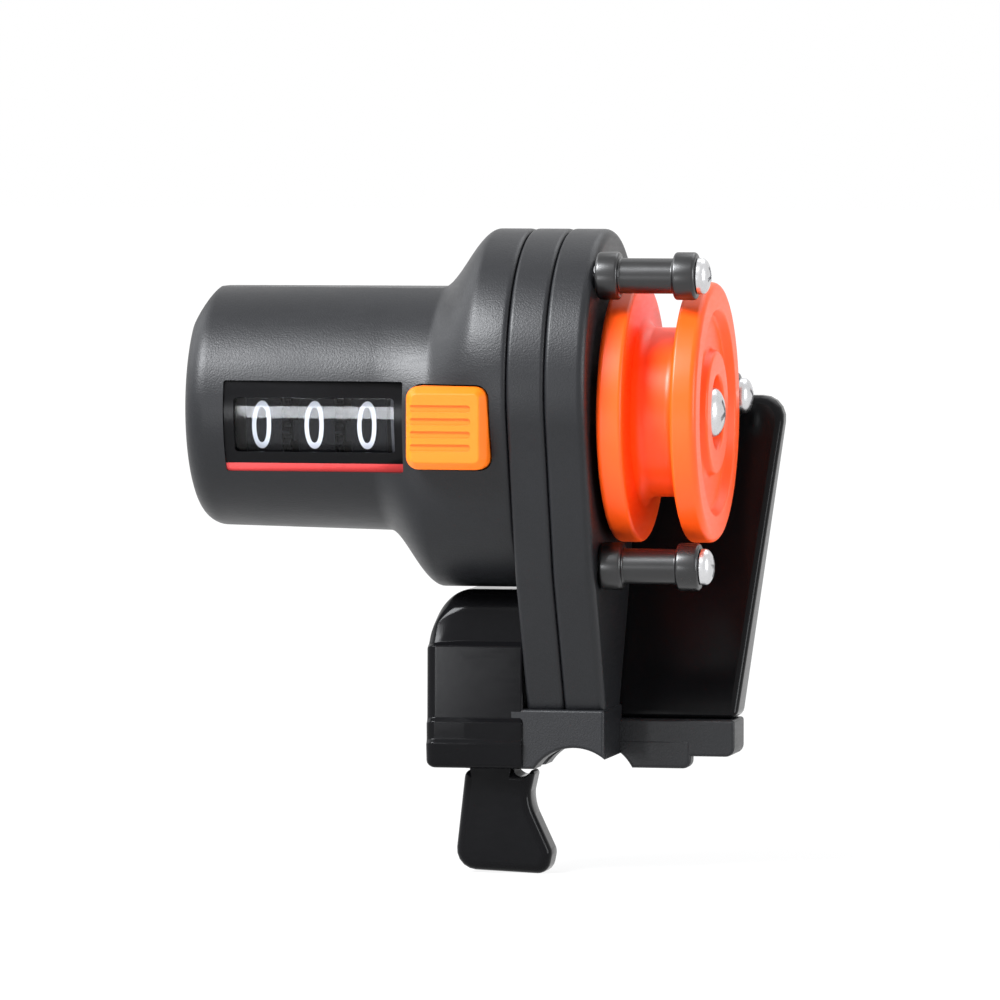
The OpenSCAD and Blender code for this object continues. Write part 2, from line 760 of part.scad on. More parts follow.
// The finger block's side outline, drawn in Y and Z over the rod axis: three steps, a face and a sloping top
module block_outline() {
    front = block_y[0];
    back = block_y[1];
    top = block_z[1];
    polygon([
        [front + 0.3, block_z[0]],
        [front, block_z[0] + 0.5],
        [front, block_z[0] + 2.45],
        [front + 0.3, block_z[0] + 2.85],
        [front + 0.25, block_z[0] + 4.5],
        [front + 0.6, block_z[0] + 4.9],
        [front + 0.7, top - 5.35],
        [front + 1.25, top - 4.9],
        [front + 2, top - 1.4],
        [front + 3.6, top],
        [back - 2, top],
        [back, top - 2],
        [back, block_z[0]]
    ]);
}

// The finger block's front outline, drawn in X and Z over the rod axis: its outer top corner is swept round
module block_front() {
    left = block_x - block_w;
    top = block_z[1];
    sweep = [5.5, 6.235];
    polygon(concat(
        [[block_x, block_z[0]], [left + 0.8, block_z[0]], [left, block_z[0] + 0.8]],
        [for (a = [180:-12:120]) [left + sweep[0] * (1 + cos(a)), top - 5.4 + sweep[1] * sin(a)]],
        [[block_x, top]]
    ));
}

module clamp_base() {
    left = block_x - block_w;
    color([0.14, 0.14, 0.15]) difference() {
        union() {
            intersection() {
                yz_plate(left, block_x) block_outline();
                xz_plate(2 * block_y[0], 2 * block_y[1]) block_front();
            }
            xz_plate(seat_y - seat_len / 2, seat_y + seat_len / 2) polygon([
                [block_x - block_wall, block_z[0]],
                [block_x - block_wall, leg_z + leg_seat],
                [face_x, leg_z + leg_seat],
                [face_x, block_z[0]]
            ]);
            translate([foot_x[0], floor_y[0], block_z[0] - 0.4])
                cube([foot_x[1] - foot_x[0], foot_d, floor_z[1] - block_z[0] + 0.4]);
            translate([foot_x[0], floor_y[0], floor_z[0]])
                cube([floor_end_x - foot_x[0], floor_y[1] - floor_y[0], floor_z[1] - floor_z[0]]);
        }
        y_bar(-seat_len, 2 * seat_len, rod_r, [0, 0]);
        translate([0, 0, axis_h]) yz_plate(seam_x, face_x + 1) housing_outline();
        for (x = leg_screw_x) translate([x, 0, 0]) {
            cylinder(h = axis_h / 2, r = leg_screw_r);
            cylinder(h = leg_seat_z, r = 2 * leg_screw_r);
        }
        translate([pocket_x[0], jaw_y - slip, block_z[0] - 1])
            cube([pocket_x[1] - pocket_x[0], jaw_t + 2 * slip, pocket_top - block_z[0] + 1]);
        y_bar(block_y[0] + 1.2, block_y[1] - 0.4, jaw_pin_r, jaw_pivot);
        for (x = plate_screw_x) {
            translate([x, plate_screw_y, 0]) cylinder(h = floor_z[1] + 1, r = plate_screw_r);
            translate([x, plate_screw_y, 0]) cylinder(h = floor_z[0] + 0.8, r = 2 * plate_screw_r);
        }
    }
}

// The thumb plate: a leaning plate behind the pulley that widens towards its top
module thumb_plate() {
    left = seam_x;
    right = floor_end_x + plate_widen;
    corner = 2;
    foot_t = floor_y[1] - plate_front[0];
    color([0.1, 0.1, 0.11]) difference() {
        hull() {
            translate([left, plate_front[0], floor_z[1]]) cube([floor_end_x - left, foot_t, 1.2]);
            translate([left, plate_front[1], plate_top - 1]) cube([right - corner - left, plate_t, 1]);
            y_bar(plate_front[1], plate_front[1] + plate_t, corner, [right - corner, plate_top - corner]);
        }
        for (x = plate_screw_x)
            translate([x, plate_screw_y, 0]) cylinder(h = floor_z[1] + 4, r = plate_screw_r);
    }
}

module plate_screws() {
    color("silver") for (x = plate_screw_x) translate([x, plate_screw_y, 0]) {
        translate([0, 0, floor_z[0] + 0.1]) cylinder(h = 0.7, r = 2 * plate_screw_r);
        translate([0, 0, floor_z[0] + 0.8 - tiny]) cylinder(h = 6, r = plate_screw_r);
    }
}

module leg_screws() {
    color("silver") for (x = leg_screw_x) translate([x, 0, 0]) {
        translate([0, 0, leg_seat_z - 0.9]) cylinder(h = 0.9, r = 2 * leg_screw_r);
        translate([0, 0, leg_seat_z - tiny]) cylinder(h = leg_screw_len, r = leg_screw_r);
    }
}

// The jaw's claw, drawn in X and Z: its right side follows the rod's curve and leaves it straight to the tip
module claw_outline() {
    top = block_z[0] - slip;
    heel = polar(rod_r, 205);
    tip = heel + polar(4, 295);
    corner = 1.2;
    difference() {
        offset(r = corner) offset(delta = -corner)
            polygon([[-10.9, top + 3], [-12.3, -7.4], [-3, -7.8], tip, heel, [-3.5, top + 3]]);
        circle(r = rod_r);
        translate([-20, top]) square([20, 10]);
        translate([-5.5, block_z[0]]) circle(r = 0.9);
    }
}

module clamp_jaw() {
    color([0.05, 0.05, 0.05]) difference() {
        union() {
            xz_plate(jaw_y, jaw_back_y) claw_outline();
            xz_plate(jaw_y, jaw_hub_end_y) hull() {
                translate(jaw_pivot) circle(r = jaw_hub_r);
                translate([-10.4, block_z[0] - slip - 1]) square([3.6, 0.5]);
            }
        }
        y_bar(jaw_y - 1, jaw_t, jaw_pin_r + run_gap, jaw_pivot);
    }
}

module jaw_pin() {
    color("silver") y_bar(block_y[0] + 1.2, block_y[1] - 0.4, jaw_pin_r, jaw_pivot);
}

module jaw_spring() {
    r = jaw_pin_r + slip + jaw_wire_r;
    turns = 3;
    y0 = -jaw_y - jaw_wire_r;
    y1 = jaw_back_y - jaw_wire_r;
    start = [jaw_pivot[0] - r, y0, jaw_pivot[1]];
    stop = [jaw_pivot[0] - r, y1, jaw_pivot[1]];
    color("silver") wire(concat(
        [start + [0, 0, 5], start + [0, 0, 2.5]],
        coil(jaw_pivot, y0, y1, -r, turns),
        [stop - [0, 0, 1.2], stop - [0, 0, 2.4]]
    ), jaw_wire_r);
}

counter_case();
window_frame();
window_lens();
index_strip();
gear_case();
gear_cover();
case_screws();
digit_wheel_units();
digit_wheel_tens();
digit_wheel_hundreds();
counter_axle();
counter_frame();
carry_pinion_tens();
carry_pinion_hundreds();
carry_shaft();
reset_button();
reset_comb();
reset_spring();
drive_gear();
idler_gear();
idler_axle();
input_pinion();
pulley_shaft();
pulley_bush();
pulley();
pulley_screw();
guide_roller_top();
guide_roller_bottom();
guide_roller_back();
roller_screws();
clamp_base();
thumb_plate();
plate_screws();
leg_screws();
clamp_jaw();
jaw_pin();
jaw_spring();
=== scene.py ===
"""Looks of a clip-on fishing line counter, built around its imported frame."""

import json
import math

import bmesh
import bpy
import numpy as np
from bpy.props import FloatProperty, FloatVectorProperty, IntProperty, PointerProperty
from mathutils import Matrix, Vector


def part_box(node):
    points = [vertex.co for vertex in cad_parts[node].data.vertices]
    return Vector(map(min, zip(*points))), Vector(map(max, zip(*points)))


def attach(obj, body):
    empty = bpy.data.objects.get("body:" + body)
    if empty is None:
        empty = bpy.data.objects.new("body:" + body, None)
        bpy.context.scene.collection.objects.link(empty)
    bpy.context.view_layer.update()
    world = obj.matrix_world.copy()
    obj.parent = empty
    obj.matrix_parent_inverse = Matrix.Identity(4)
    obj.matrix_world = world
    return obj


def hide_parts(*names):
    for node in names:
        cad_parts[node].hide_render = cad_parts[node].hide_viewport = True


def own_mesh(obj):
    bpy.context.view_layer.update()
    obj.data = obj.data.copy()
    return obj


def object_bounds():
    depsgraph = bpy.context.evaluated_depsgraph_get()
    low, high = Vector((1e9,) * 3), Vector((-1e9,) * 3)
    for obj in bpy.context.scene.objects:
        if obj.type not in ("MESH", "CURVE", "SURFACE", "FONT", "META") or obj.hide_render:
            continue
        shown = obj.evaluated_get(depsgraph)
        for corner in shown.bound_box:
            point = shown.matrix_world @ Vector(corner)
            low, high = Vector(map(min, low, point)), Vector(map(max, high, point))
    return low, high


bl_info = {
    "name": "Fishing line counter",
    "version": (1, 0, 0),
    "blender": (4, 5, 0),
    "location": "View3D > Sidebar > Line counter",
    "description": "Dresses a clip-on fishing line counter",
    "category": "Object",
}

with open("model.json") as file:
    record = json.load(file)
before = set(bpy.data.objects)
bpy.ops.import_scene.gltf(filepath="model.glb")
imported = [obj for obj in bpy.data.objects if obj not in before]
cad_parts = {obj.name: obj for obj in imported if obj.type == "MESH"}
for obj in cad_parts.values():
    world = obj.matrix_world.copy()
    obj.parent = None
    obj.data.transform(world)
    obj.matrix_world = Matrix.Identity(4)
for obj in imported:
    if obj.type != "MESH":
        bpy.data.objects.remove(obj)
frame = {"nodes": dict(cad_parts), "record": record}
CAD_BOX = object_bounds()
MM = 0.001
TURN = 2 * math.pi
# Points closer than this, in metres, are one point
WELD = 1e-7


def low(node):
    """A node's lowest corner, in metres."""
    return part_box(node)[0]


def high(node):
    """A node's highest corner, in metres."""
    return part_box(node)[1]


def middle(node):
    """The middle of a node's box, in metres."""
    return (low(node) + high(node)) / 2


AXIS_Z = middle("pulley").z
SEAM_X = low("gear_case").x
COVER_X = high("gear_case").x
FACE_X = high("gear_cover").x
CASE_END_X = low("counter_case").x
LEG_Z = low("gear_case").z
HEAD_TOP = high("gear_case").z
HEAD_R = (high("gear_case").y - low("gear_case").y) / 2
ROD_R = 4.7 * MM


# Settings that a user would change


class CounterSizes(bpy.types.PropertyGroup):
    """Sizes of the details that the frame doesn't hold"""

    seam_round: FloatProperty(
        name="Seam rounding", description="Rounding of the shells' edges at their seams",
        default=0.45 * MM, unit="LENGTH", precision=5,
    )
    cover_round: FloatProperty(
        name="Cover rounding", description="Rounding of the cover's outer rim",
        default=0.9 * MM, unit="LENGTH", precision=5,
    )
    barrel_rise: FloatProperty(
        name="Barrel rise", description="Height of the barrel's axis over the pulley's axis",
        default=0.4 * MM, unit="LENGTH", precision=5,
    )
    barrel_end_r: FloatProperty(
        name="Barrel end radius", description="Radius of the barrel at its closed end",
        default=11.7 * MM, unit="LENGTH", precision=5,
    )
    barrel_root_r: FloatProperty(
        name="Barrel root radius", description="Radius of the barrel at its flare",
        default=12.1 * MM, unit="LENGTH", precision=5,
    )
    digit_height: FloatProperty(
        name="Digit height", description="Height of a digit on its wheel",
        default=4.7 * MM, unit="LENGTH", precision=5,
    )
    grain: FloatProperty(
        name="Grain", description="Size of the moulded grain", default=0.17 * MM, unit="LENGTH", precision=5,
    )
    ridges: IntProperty(
        name="Button ridges", description="Finger grooves on the reset button", default=4, min=1, max=8,
    )


class CounterColours(bpy.types.PropertyGroup):
    """Colours of the pieces"""

    case: FloatVectorProperty(
        name="Case", description="Satin black of the shells", subtype="COLOR",
        default=(0.0085, 0.009, 0.0105),
    )
    gloss: FloatVectorProperty(
        name="Gloss black", description="Black of the plate, the jaw, the block and the rollers",
        subtype="COLOR", default=(0.004, 0.004, 0.0045),
    )
    pulley: FloatVectorProperty(
        name="Pulley", description="Orange of the pulley", subtype="COLOR", default=(0.95, 0.085, 0.005),
    )
    button: FloatVectorProperty(
        name="Button", description="Orange of the reset button", subtype="COLOR", default=(0.9, 0.165, 0.006),
    )
    strip: FloatVectorProperty(
        name="Index strip", description="Red of the index strip", subtype="COLOR",
        default=(0.66, 0.055, 0.055),
    )
    digit: FloatVectorProperty(
        name="Digits", description="White of the digits", subtype="COLOR", default=(0.85, 0.87, 0.9),
    )


def sizes():
    """The size settings."""
    return bpy.context.scene.counter_sizes


def colours():
    """The colour settings."""
    return bpy.context.scene.counter_colours


# Shader maths and finishes


class Term:
    """A shader value whose arithmetic adds Math nodes."""

    def __init__(self, finish, socket):
        self.finish = finish
        self.socket = socket

    def math(self, operation, *values):
        """A Math node on the given values."""
        ins = {i: getattr(v, "socket", v) for i, v in enumerate(values)}
        return self.finish.node("ShaderNodeMath", {"operation": operation}, ins)

    def __add__(self, other):
        return self.math("ADD", self, other)

    __radd__ = __add__

    def __sub__(self, other):
        return self.math("SUBTRACT", self, other)

    def __rsub__(self, other):
        return self.math("SUBTRACT", other, self)

    def __mul__(self, other):
        return self.math("MULTIPLY", self, other)

    __rmul__ = __mul__


class Finish:
    """A material whose nodes come from one method."""

    def __init__(self, name):
        self.material = bpy.data.materials.new(name)
        self.material.use_nodes = True
        self.tree = self.material.node_tree
        self.tree.nodes.clear()
        self.output = self.tree.nodes.new("ShaderNodeOutputMaterial")

    def node(self, kind, settings=None, inputs=None, out=0):
        """Adds a node, sets its settings, then sets or links its sockets, and returns one of its outputs."""
        made = self.tree.nodes.new(kind)
        for key, value in (settings or {}).items():
            setattr(made, key, value)
        for key, value in (inputs or {}).items():
            value = getattr(value, "socket", value)
            if isinstance(value, bpy.types.NodeSocket):
                self.tree.links.new(value, made.inputs[key])
            else:
                made.inputs[key].default_value = value
        return Term(self, made.outputs[out])

    def place(self):
        """Object coordinates."""
        return self.node("ShaderNodeTexCoord", out="Object")

    def noise(self, size, detail=2.0, stretch=None):
        """Noise whose features are about size metres across."""
        where = self.place()
        if stretch:
            where = self.node("ShaderNodeMapping", None, {"Vector": where, "Scale": stretch})
        return self.node("ShaderNodeTexNoise", None, {"Vector": where, "Scale": 1 / size, "Detail": detail})

    def blend(self, mask, first, second):
        """A colour between two colours."""
        pick = {"data_type": "RGBA"}
        return self.node("ShaderNodeMix", pick, {"Factor": mask, 6: first, 7: second}, out=2)

    def bump(self, height, depth, strength=1.0):
        """A normal bent by a height, depth metres deep."""
        return self.node("ShaderNodeBump", None, {"Height": height, "Distance": depth, "Strength": strength})

    def shade(self, **sockets):
        """Ends the material in a Principled shader. Underscores in a socket's name stand for spaces."""
        named = {key.replace("_", " "): value for key, value in sockets.items()}
        shader = self.node("ShaderNodeBsdfPrincipled", None, named)
        self.tree.links.new(shader.socket, self.output.inputs["Surface"])
        return self.material


def tone(colour, gain):
    """A colour with its brightness changed, as RGBA."""
    return (*(min(1.0, c * gain) for c in colour), 1.0)


def moulded(name, colour, rough, grain, depth, vary=0.25, sheen=0.5):
    """Moulded plastic: a fine grain, a broad change of tone and gloss, and faint handling scuffs."""
    f = Finish(name)
    broad = f.noise(9 * MM, 3)
    fine = f.noise(grain, 2)
    scuff = f.noise(2.2 * MM, 5, stretch=(1.0, 1.0, 6.0))
    mask = broad * 0.7 + fine * 0.3
    base = f.blend(mask, tone(colour, 1 - vary), tone(colour, 1 + vary))
    gloss = rough + (broad - 0.5) * 0.16 + (scuff - 0.5) * 0.12
    normal = f.bump(fine, depth, 0.7)
    return f.shade(Base_Color=base, Roughness=gloss, Normal=normal, Specular_IOR_Level=sheen)


def metal(name, colour, rough):
    """Bright steel or brass with fine turned marks."""
    f = Finish(name)
    marks = f.noise(0.12 * MM, 3, stretch=(5.0, 1.0, 1.0))
    broad = f.noise(1.5 * MM, 2)
    base = f.blend(broad, tone(colour, 0.85), tone(colour, 1.1))
    gloss = rough + (marks - 0.5) * 0.2
    normal = f.bump(marks, 0.004 * MM, 0.6)
    return f.shade(Base_Color=base, Metallic=1.0, Roughness=gloss, Normal=normal)


def clear(name):
    """Clear plastic: see-through, with a mirror sheen that grows towards grazing angles and varies with
    smudges."""
    f = Finish(name)
    smudge = f.noise(2.5 * MM, 4)
    sheen = f.node("ShaderNodeFresnel", None, {"IOR": 1.5})
    through = f.node("ShaderNodeBsdfTransparent", None, {"Color": (0.97, 0.98, 1.0, 1.0)})
    mirror = f.node("ShaderNodeBsdfGlossy", None, {"Color": (1.0, 1.0, 1.0, 1.0), "Roughness": 0.04})
    mixed = f.node("ShaderNodeMixShader", None, {0: sheen * (0.2 + smudge * 0.2), 1: through, 2: mirror})
    f.tree.links.new(mixed.socket, f.output.inputs["Surface"])
    return f.material


FINISHES = {}


def finish_for(slot):
    """The material of a slot, made once."""
    if slot not in FINISHES:
        c = colours()
        s = sizes()
        makers = {
            "case_black": lambda: moulded("satin black", c.case, 0.4, s.grain, 0.03 * MM, sheen=0.3),
            "gloss_black": lambda: moulded("gloss black", c.gloss, 0.2, 0.5 * MM, 0.003 * MM, sheen=0.1),
            "jaw_black": lambda: moulded("jaw black", c.gloss, 0.14, 0.5 * MM, 0.002 * MM, sheen=0.08),
            "roller_black": lambda: moulded("roller black", c.gloss, 0.3, 0.4 * MM, 0.003 * MM, sheen=0.6),
            "wheel_black": lambda: moulded(
                "wheel black", (0.004, 0.004, 0.005), 0.5, 0.2 * MM, 0.004 * MM, sheen=0.12,
            ),
            "clear": lambda: clear("clear window"),
            "red": lambda: moulded("index red", c.strip, 0.3, 0.4 * MM, 0.004 * MM, 0.1, 0.4),
            "pulley_orange": lambda: moulded(
                "pulley orange", c.pulley, 0.36, 0.5 * MM, 0.005 * MM, 0.06, 0.32,
            ),
            "button_orange": lambda: moulded(
                "button orange", c.button, 0.45, 0.3 * MM, 0.006 * MM, 0.07, 0.25,
            ),
            "gear_white": lambda: moulded("gear white", (0.8, 0.79, 0.75), 0.4, 0.3 * MM, 0.004 * MM, 0.05),
            "inner_grey": lambda: moulded("inner grey", (0.05, 0.05, 0.055), 0.5, 0.3 * MM, 0.006 * MM),
            "brass": lambda: metal("turned brass", (0.78, 0.52, 0.22), 0.3),
            "steel": lambda: metal("bright steel", (0.62, 0.62, 0.63), 0.28),
            "digit_white": lambda: moulded("digit white", c.digit, 0.5, 0.2 * MM, 0.002 * MM, 0.03),
        }
        FINISHES[slot] = makers[slot]()
    return FINISHES[slot]


# Surfaces


def closed_grid(rows):
    """Skin over an array of closed rings [row, column, 3], with a flat face over each end."""
    count, around, _ = rows.shape
    index = np.arange(count * around).reshape(count, around)
    a = index[:-1]
    b = np.roll(a, -1, axis=1)
    c = np.roll(index[1:], -1, axis=1)
    quads = np.stack([a, b, c, index[1:]], axis=-1).reshape(-1, 4)
    faces = quads.tolist() + [index[0, ::-1].tolist(), index[-1].tolist()]
    return rows.reshape(-1, 3), faces


def outward(mesh):
    """Merges doubled points and turns every face outwards."""
    bm = bmesh.new()
    bm.from_mesh(mesh)
    bmesh.ops.remove_doubles(bm, verts=bm.verts, dist=WELD)
    bmesh.ops.recalc_face_normals(bm, faces=bm.faces)
    bm.to_mesh(mesh)
    bm.free()


def solid(name, verts, faces):
    """A mesh object from points and faces, closed and turned outwards."""
    mesh = bpy.data.meshes.new(name)
    mesh.from_pydata(np.asarray(verts).tolist(), [], faces)
    mesh.validate()
    outward(mesh)
    made = bpy.data.objects.new(name, mesh)
    bpy.context.scene.collection.objects.link(made)
    return made


def smooth(piece, angle=32):
    """Smooth shading, with edges sharper than the angle kept."""
    mesh = piece.data
    mesh.polygons.foreach_set("use_smooth", np.ones(len(mesh.polygons), bool))
    mesh.set_sharp_from_angle(angle=math.radians(angle))


def dress(piece, body, slot, *nodes, finish=None, angle=32):
    """Gives a piece its finish and its body, and hides the nodes that it stands for.
    The finish is the slot's unless it is named."""
    smooth(piece, angle)
    piece.modifiers.new("face normals", "WEIGHTED_NORMAL").keep_sharp = True
    piece.data.materials.clear()
    piece.data.materials.append(finish_for(finish or slot))
    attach(piece, body)
    if nodes:
        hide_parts(*nodes)
    return piece


def cut(piece, tool, how="DIFFERENCE"):
    """Applies one Boolean of a tool to a piece and removes the tool."""
    modifier = piece.modifiers.new("cut", "BOOLEAN")
    modifier.operation = how
    modifier.solver = "EXACT"
    modifier.object = tool
    bpy.context.view_layer.update()
    view = piece.evaluated_get(bpy.context.evaluated_depsgraph_get())
    mesh = bpy.data.meshes.new_from_object(view)
    piece.modifiers.clear()
    old = piece.data
    piece.data = mesh
    mesh.name = old.name
    bpy.data.meshes.remove(old)
    bpy.data.objects.remove(tool)


def rounded(points, radii, steps=6):
    """A closed outline whose corners are arcs: each corner's arc is tangent to both of its sides."""
    points = np.asarray(points, float)
    radii = np.broadcast_to(np.asarray(radii, float), len(points))
    back = np.roll(points, 1, axis=0) - points
    ahead = np.roll(points, -1, axis=0) - points
    reach = np.minimum(np.linalg.norm(back, axis=1), np.linalg.norm(ahead, axis=1)) * 0.499
    back /= np.linalg.norm(back, axis=1, keepdims=True)
    ahead /= np.linalg.norm(ahead, axis=1, keepdims=True)
    half = np.arccos(np.clip((back * ahead).sum(1), -1, 1)) / 2
    trim = np.minimum(radii / np.tan(half), reach)
    t = np.linspace(0, 1, steps)[None, :, None]
    start = (points + back * trim[:, None])[:, None]
    stop = (points + ahead * trim[:, None])[:, None]
    weight = np.cos(math.pi / 2 - half)[:, None, None]
    corner = points[:, None]
    top = start * (1 - t) ** 2 + corner * 2 * t * (1 - t) * weight + stop * t**2
    path = (top / ((1 - t) ** 2 + 2 * t * (1 - t) * weight + t**2)).reshape(-1, 2)
    return path[np.linalg.norm(path - np.roll(path, 1, axis=0), axis=1) > 1e-9]


def corners(*parts):
    """A table of corners (across, up, radius) in metres, from corners and arrays of them in millimetres."""
    return np.vstack([np.atleast_2d(part) for part in parts]) * MM


def drawn(*parts):
    """The outline of a list of corners in millimetres."""
    table = corners(*parts)
    return rounded(table[:, :2], table[:, 2])


def set_in(table, inset):
    """The outline of a table of corners, set in: each side moves along its own normal and meets the next side
    again. A round gets smaller by the inset at an outer corner, and larger at an inner one."""
    points, radii = table[:, :2], table[:, 2]
    ahead = np.roll(points, -1, axis=0) - points
    after = np.stack([ahead[:, 1], -ahead[:, 0]], axis=1) / np.linalg.norm(ahead, axis=1, keepdims=True)
    before = np.roll(after, 1, axis=0)
    shift = (after + before) / (1 + (after * before).sum(1, keepdims=True))
    turn = np.sign(before[:, 0] * after[:, 1] - before[:, 1] * after[:, 0])
    radii = np.where(radii == 0, 0, np.maximum(radii - turn * inset, 0.02 * MM))
    return rounded(points - inset * shift, radii)


def arc(centre, r, start, stop, count=24):
    """Corners along an arc, in millimetres and degrees."""
    a = np.radians(np.linspace(start, stop, count))
    return np.stack([centre[0] + r * np.cos(a), centre[1] + r * np.sin(a), np.zeros(count)], axis=1)


def outline_normals(outline):
    """Outward normals of a closed outline that runs anticlockwise."""
    along = np.roll(outline, -1, axis=0) - np.roll(outline, 1, axis=0)
    normals = np.stack([along[:, 1], -along[:, 0]], axis=1)
    return normals / np.maximum(np.linalg.norm(normals, axis=1, keepdims=True), 1e-12)


def edge_rows(start, stop, r0, r1, steps=5):
    """Rows of [place, inset] from start to stop: a quarter circle at each end, of radius r0 and r1."""
    a = np.linspace(0, math.pi / 2, steps)
    first = np.stack([start + r0 * (1 - np.sin(a)), r0 * (1 - np.cos(a))], axis=1)[::-1]
    last = np.stack([stop - r1 * (1 - np.sin(a)), r1 * (1 - np.cos(a))], axis=1)
    return np.vstack([first, last])


def carried(name, rings, places, axis):
    """Outlines set one after another along an axis, and skinned."""
    along = np.broadcast_to(places[:, None], rings.shape[:2])
    order = {"x": (along, rings[..., 0], rings[..., 1]), "y": (rings[..., 0], along, rings[..., 1])}
    return solid(name, *closed_grid(np.stack(order[axis], axis=-1)))


def prism(name, outline, rows, axis):
    """An outline carried along an axis: each row sets it in along its own normals."""
    rings = outline[None] - rows[:, 1, None, None] * outline_normals(outline)[None]
    return carried(name, rings, rows[:, 0], axis)


def tablet(name, table, rows, axis):
    """A table of corners carried along an axis: each row sets its sides in, so sharp corners stay sharp."""
    return carried(name, np.stack([set_in(table, inset) for inset in rows[:, 1]]), rows[:, 0], axis)


def turned(profile, centre, around):
    """Rings of a profile of [radius, X] about the line along X through centre = (Y, Z):
    at the angle a, (X, Y + radius cos a, Z + radius sin a)."""
    a = np.arange(around) * TURN / around
    r = profile[:, 0, None]
    x = np.broadcast_to(profile[:, 1, None], (len(profile), around))
    return np.stack([x, centre[0] + r * np.cos(a), centre[1] + r * np.sin(a)], axis=-1)


def lathe(name, profile, centre, around=128):
    """A profile of [radius, X] turned about X, with a flat face over each end."""
    return solid(name, *closed_grid(turned(profile, centre, around)))


def lathe_ring(name, profile, centre, around=128):
    """A closed profile of [radius, X] turned about X: a ring with a bore."""
    rings = turned(profile, centre, around)
    index = np.arange(len(profile) * around).reshape(len(profile), around)
    after = np.roll(index, -1, axis=0)
    quads = np.stack([index, np.roll(index, -1, axis=1), np.roll(after, -1, axis=1), after], axis=-1)
    return solid(name, rings.reshape(-1, 3), quads.reshape(-1, 4).tolist())


def ease(t):
    """A smooth step from 0 to 1."""
    c = np.clip(t, 0, 1)
    return c * c * (3 - 2 * c)


def mix(a, b, t):
    """A value between a and b."""
    return a + (b - a) * t


# The shells

FOOT_HALF = 4.4 * MM
FOOT_ROUND = 1.2 * MM
WAIST_DROP = 12 * MM
WAIST_R = 10.8 * MM
# Circles of the housing's outline, as (Y, Z from the pulley's axis, radius):
# head, waist and the foot's two corners
HOUSING = np.array([
    (0, HEAD_TOP - AXIS_Z - HEAD_R, HEAD_R),
    (0, -WAIST_DROP, WAIST_R),
    (FOOT_ROUND - FOOT_HALF, LEG_Z - AXIS_Z + FOOT_ROUND, FOOT_ROUND),
    (FOOT_HALF - FOOT_ROUND, LEG_Z - AXIS_Z + FOOT_ROUND, FOOT_ROUND),
])


def housing_outline(inset, around=240):
    """The housing's outline about the pulley's axis: for each direction, the circle that reaches furthest."""
    a = (np.arange(around) + 0.5) * TURN / around
    y, z, radii = HOUSING.T[:, :, None]
    pick = (y * np.cos(a) + z * np.sin(a) + radii).argmax(0)
    r = radii[pick, 0] - inset
    return np.stack([y[pick, 0] + r * np.cos(a), z[pick, 0] + r * np.sin(a)], axis=1)


def housing_shell(name, rows):
    """The housing's outline carried along X over rows of [X, inset]."""
    rings = np.stack([housing_outline(inset) for inset in rows[:, 1]])
    x = np.broadcast_to(rows[:, 0, None], rings.shape[:2])
    return solid(name, *closed_grid(np.stack([x, rings[..., 0], rings[..., 1] + AXIS_Z], axis=-1)))


def disc(name, x0, x1, r, centre, around=96):
    """A plain round bar along X."""
    return lathe(name, np.array([[r, x0], [r, x1]]), centre, around)


def gear_room(x0, x1, room=0.3 * MM):
    """The two round wells that the gears turn in."""
    return [
        disc("well", x0, x1, (high(n).y - low(n).y) / 2 + room, (middle(n).y, middle(n).z))
        for n in ("drive_gear", "idler_gear")
    ]


END_ROUND = 2.2 * MM
FLARE_LEN = 14.1 * MM
TOP_FLARE_START = 8.5 * MM
TOP_FLARE_LEN = 5.2 * MM
UNDER_FLARE_LEN = 5.4 * MM
UNDER_Z = -17.1 * MM
UNDER_R = 12 * MM
FLAT_Z = 12 * MM


def case_rings(around=288):
    """The counter case's skin. The barrel is a cone with a rounded end, flattened along its top.
    Towards the seam the top swells late, the underside early and the sides slowly, as two circles in each
    section."""
    s = sizes()
    flare_x = SEAM_X - FLARE_LEN
    turn = np.linspace(0, math.pi / 2, 12)
    seam_turn = turn[::3]
    x = np.concatenate([
        CASE_END_X + END_ROUND * (1 - np.cos(turn)),
        np.linspace(CASE_END_X + END_ROUND, flare_x, 60)[1:],
        np.linspace(flare_x, SEAM_X - s.seam_round, 90)[1:],
        SEAM_X - s.seam_round * (1 - np.sin(seam_turn))[1:],
    ])
    inset = np.zeros_like(x)
    inset[:12] = END_ROUND * (1 - np.sin(turn))
    inset[-3:] = s.seam_round * (1 - np.cos(seam_turn))[1:]
    along = np.clip((x - CASE_END_X) / (flare_x - CASE_END_X), 0, 1)
    body = mix(s.barrel_end_r, s.barrel_root_r, along)
    side = ease((x - flare_x) / FLARE_LEN)
    rise = ease((x - SEAM_X + TOP_FLARE_START) / TOP_FLARE_LEN)
    sink = ease((x - flare_x) / UNDER_FLARE_LEN)
    top = mix(s.barrel_rise + body, HEAD_TOP - AXIS_Z, rise)
    under = mix(s.barrel_rise - body, UNDER_Z, sink)
    top_r = mix(body, HEAD_R, side)
    under_r = mix(body, UNDER_R, sink)
    a = (np.arange(around) + 0.5) * TURN / around
    c = np.stack([top - top_r, under + under_r])[..., None]
    r = np.stack([top_r, under_r])[..., None]
    reach = c * np.sin(a) + r
    upper = reach[0] > reach[1]
    r = np.where(upper, r[0], r[1]) - inset[:, None]
    c = np.where(upper, c[0], c[1])
    flat = mix(FLAT_Z, HEAD_TOP - AXIS_Z, rise)
    z = np.minimum(c + r * np.sin(a), flat[:, None])
    return np.stack([np.broadcast_to(x[:, None], z.shape), r * np.cos(a), z + AXIS_Z], axis=-1)


def oblong(x0, x1, z0, z1, radius):
    """An oblong outline with round corners."""
    return rounded([(x0, z0), (x1, z0), (x1, z1), (x0, z1)], radius)


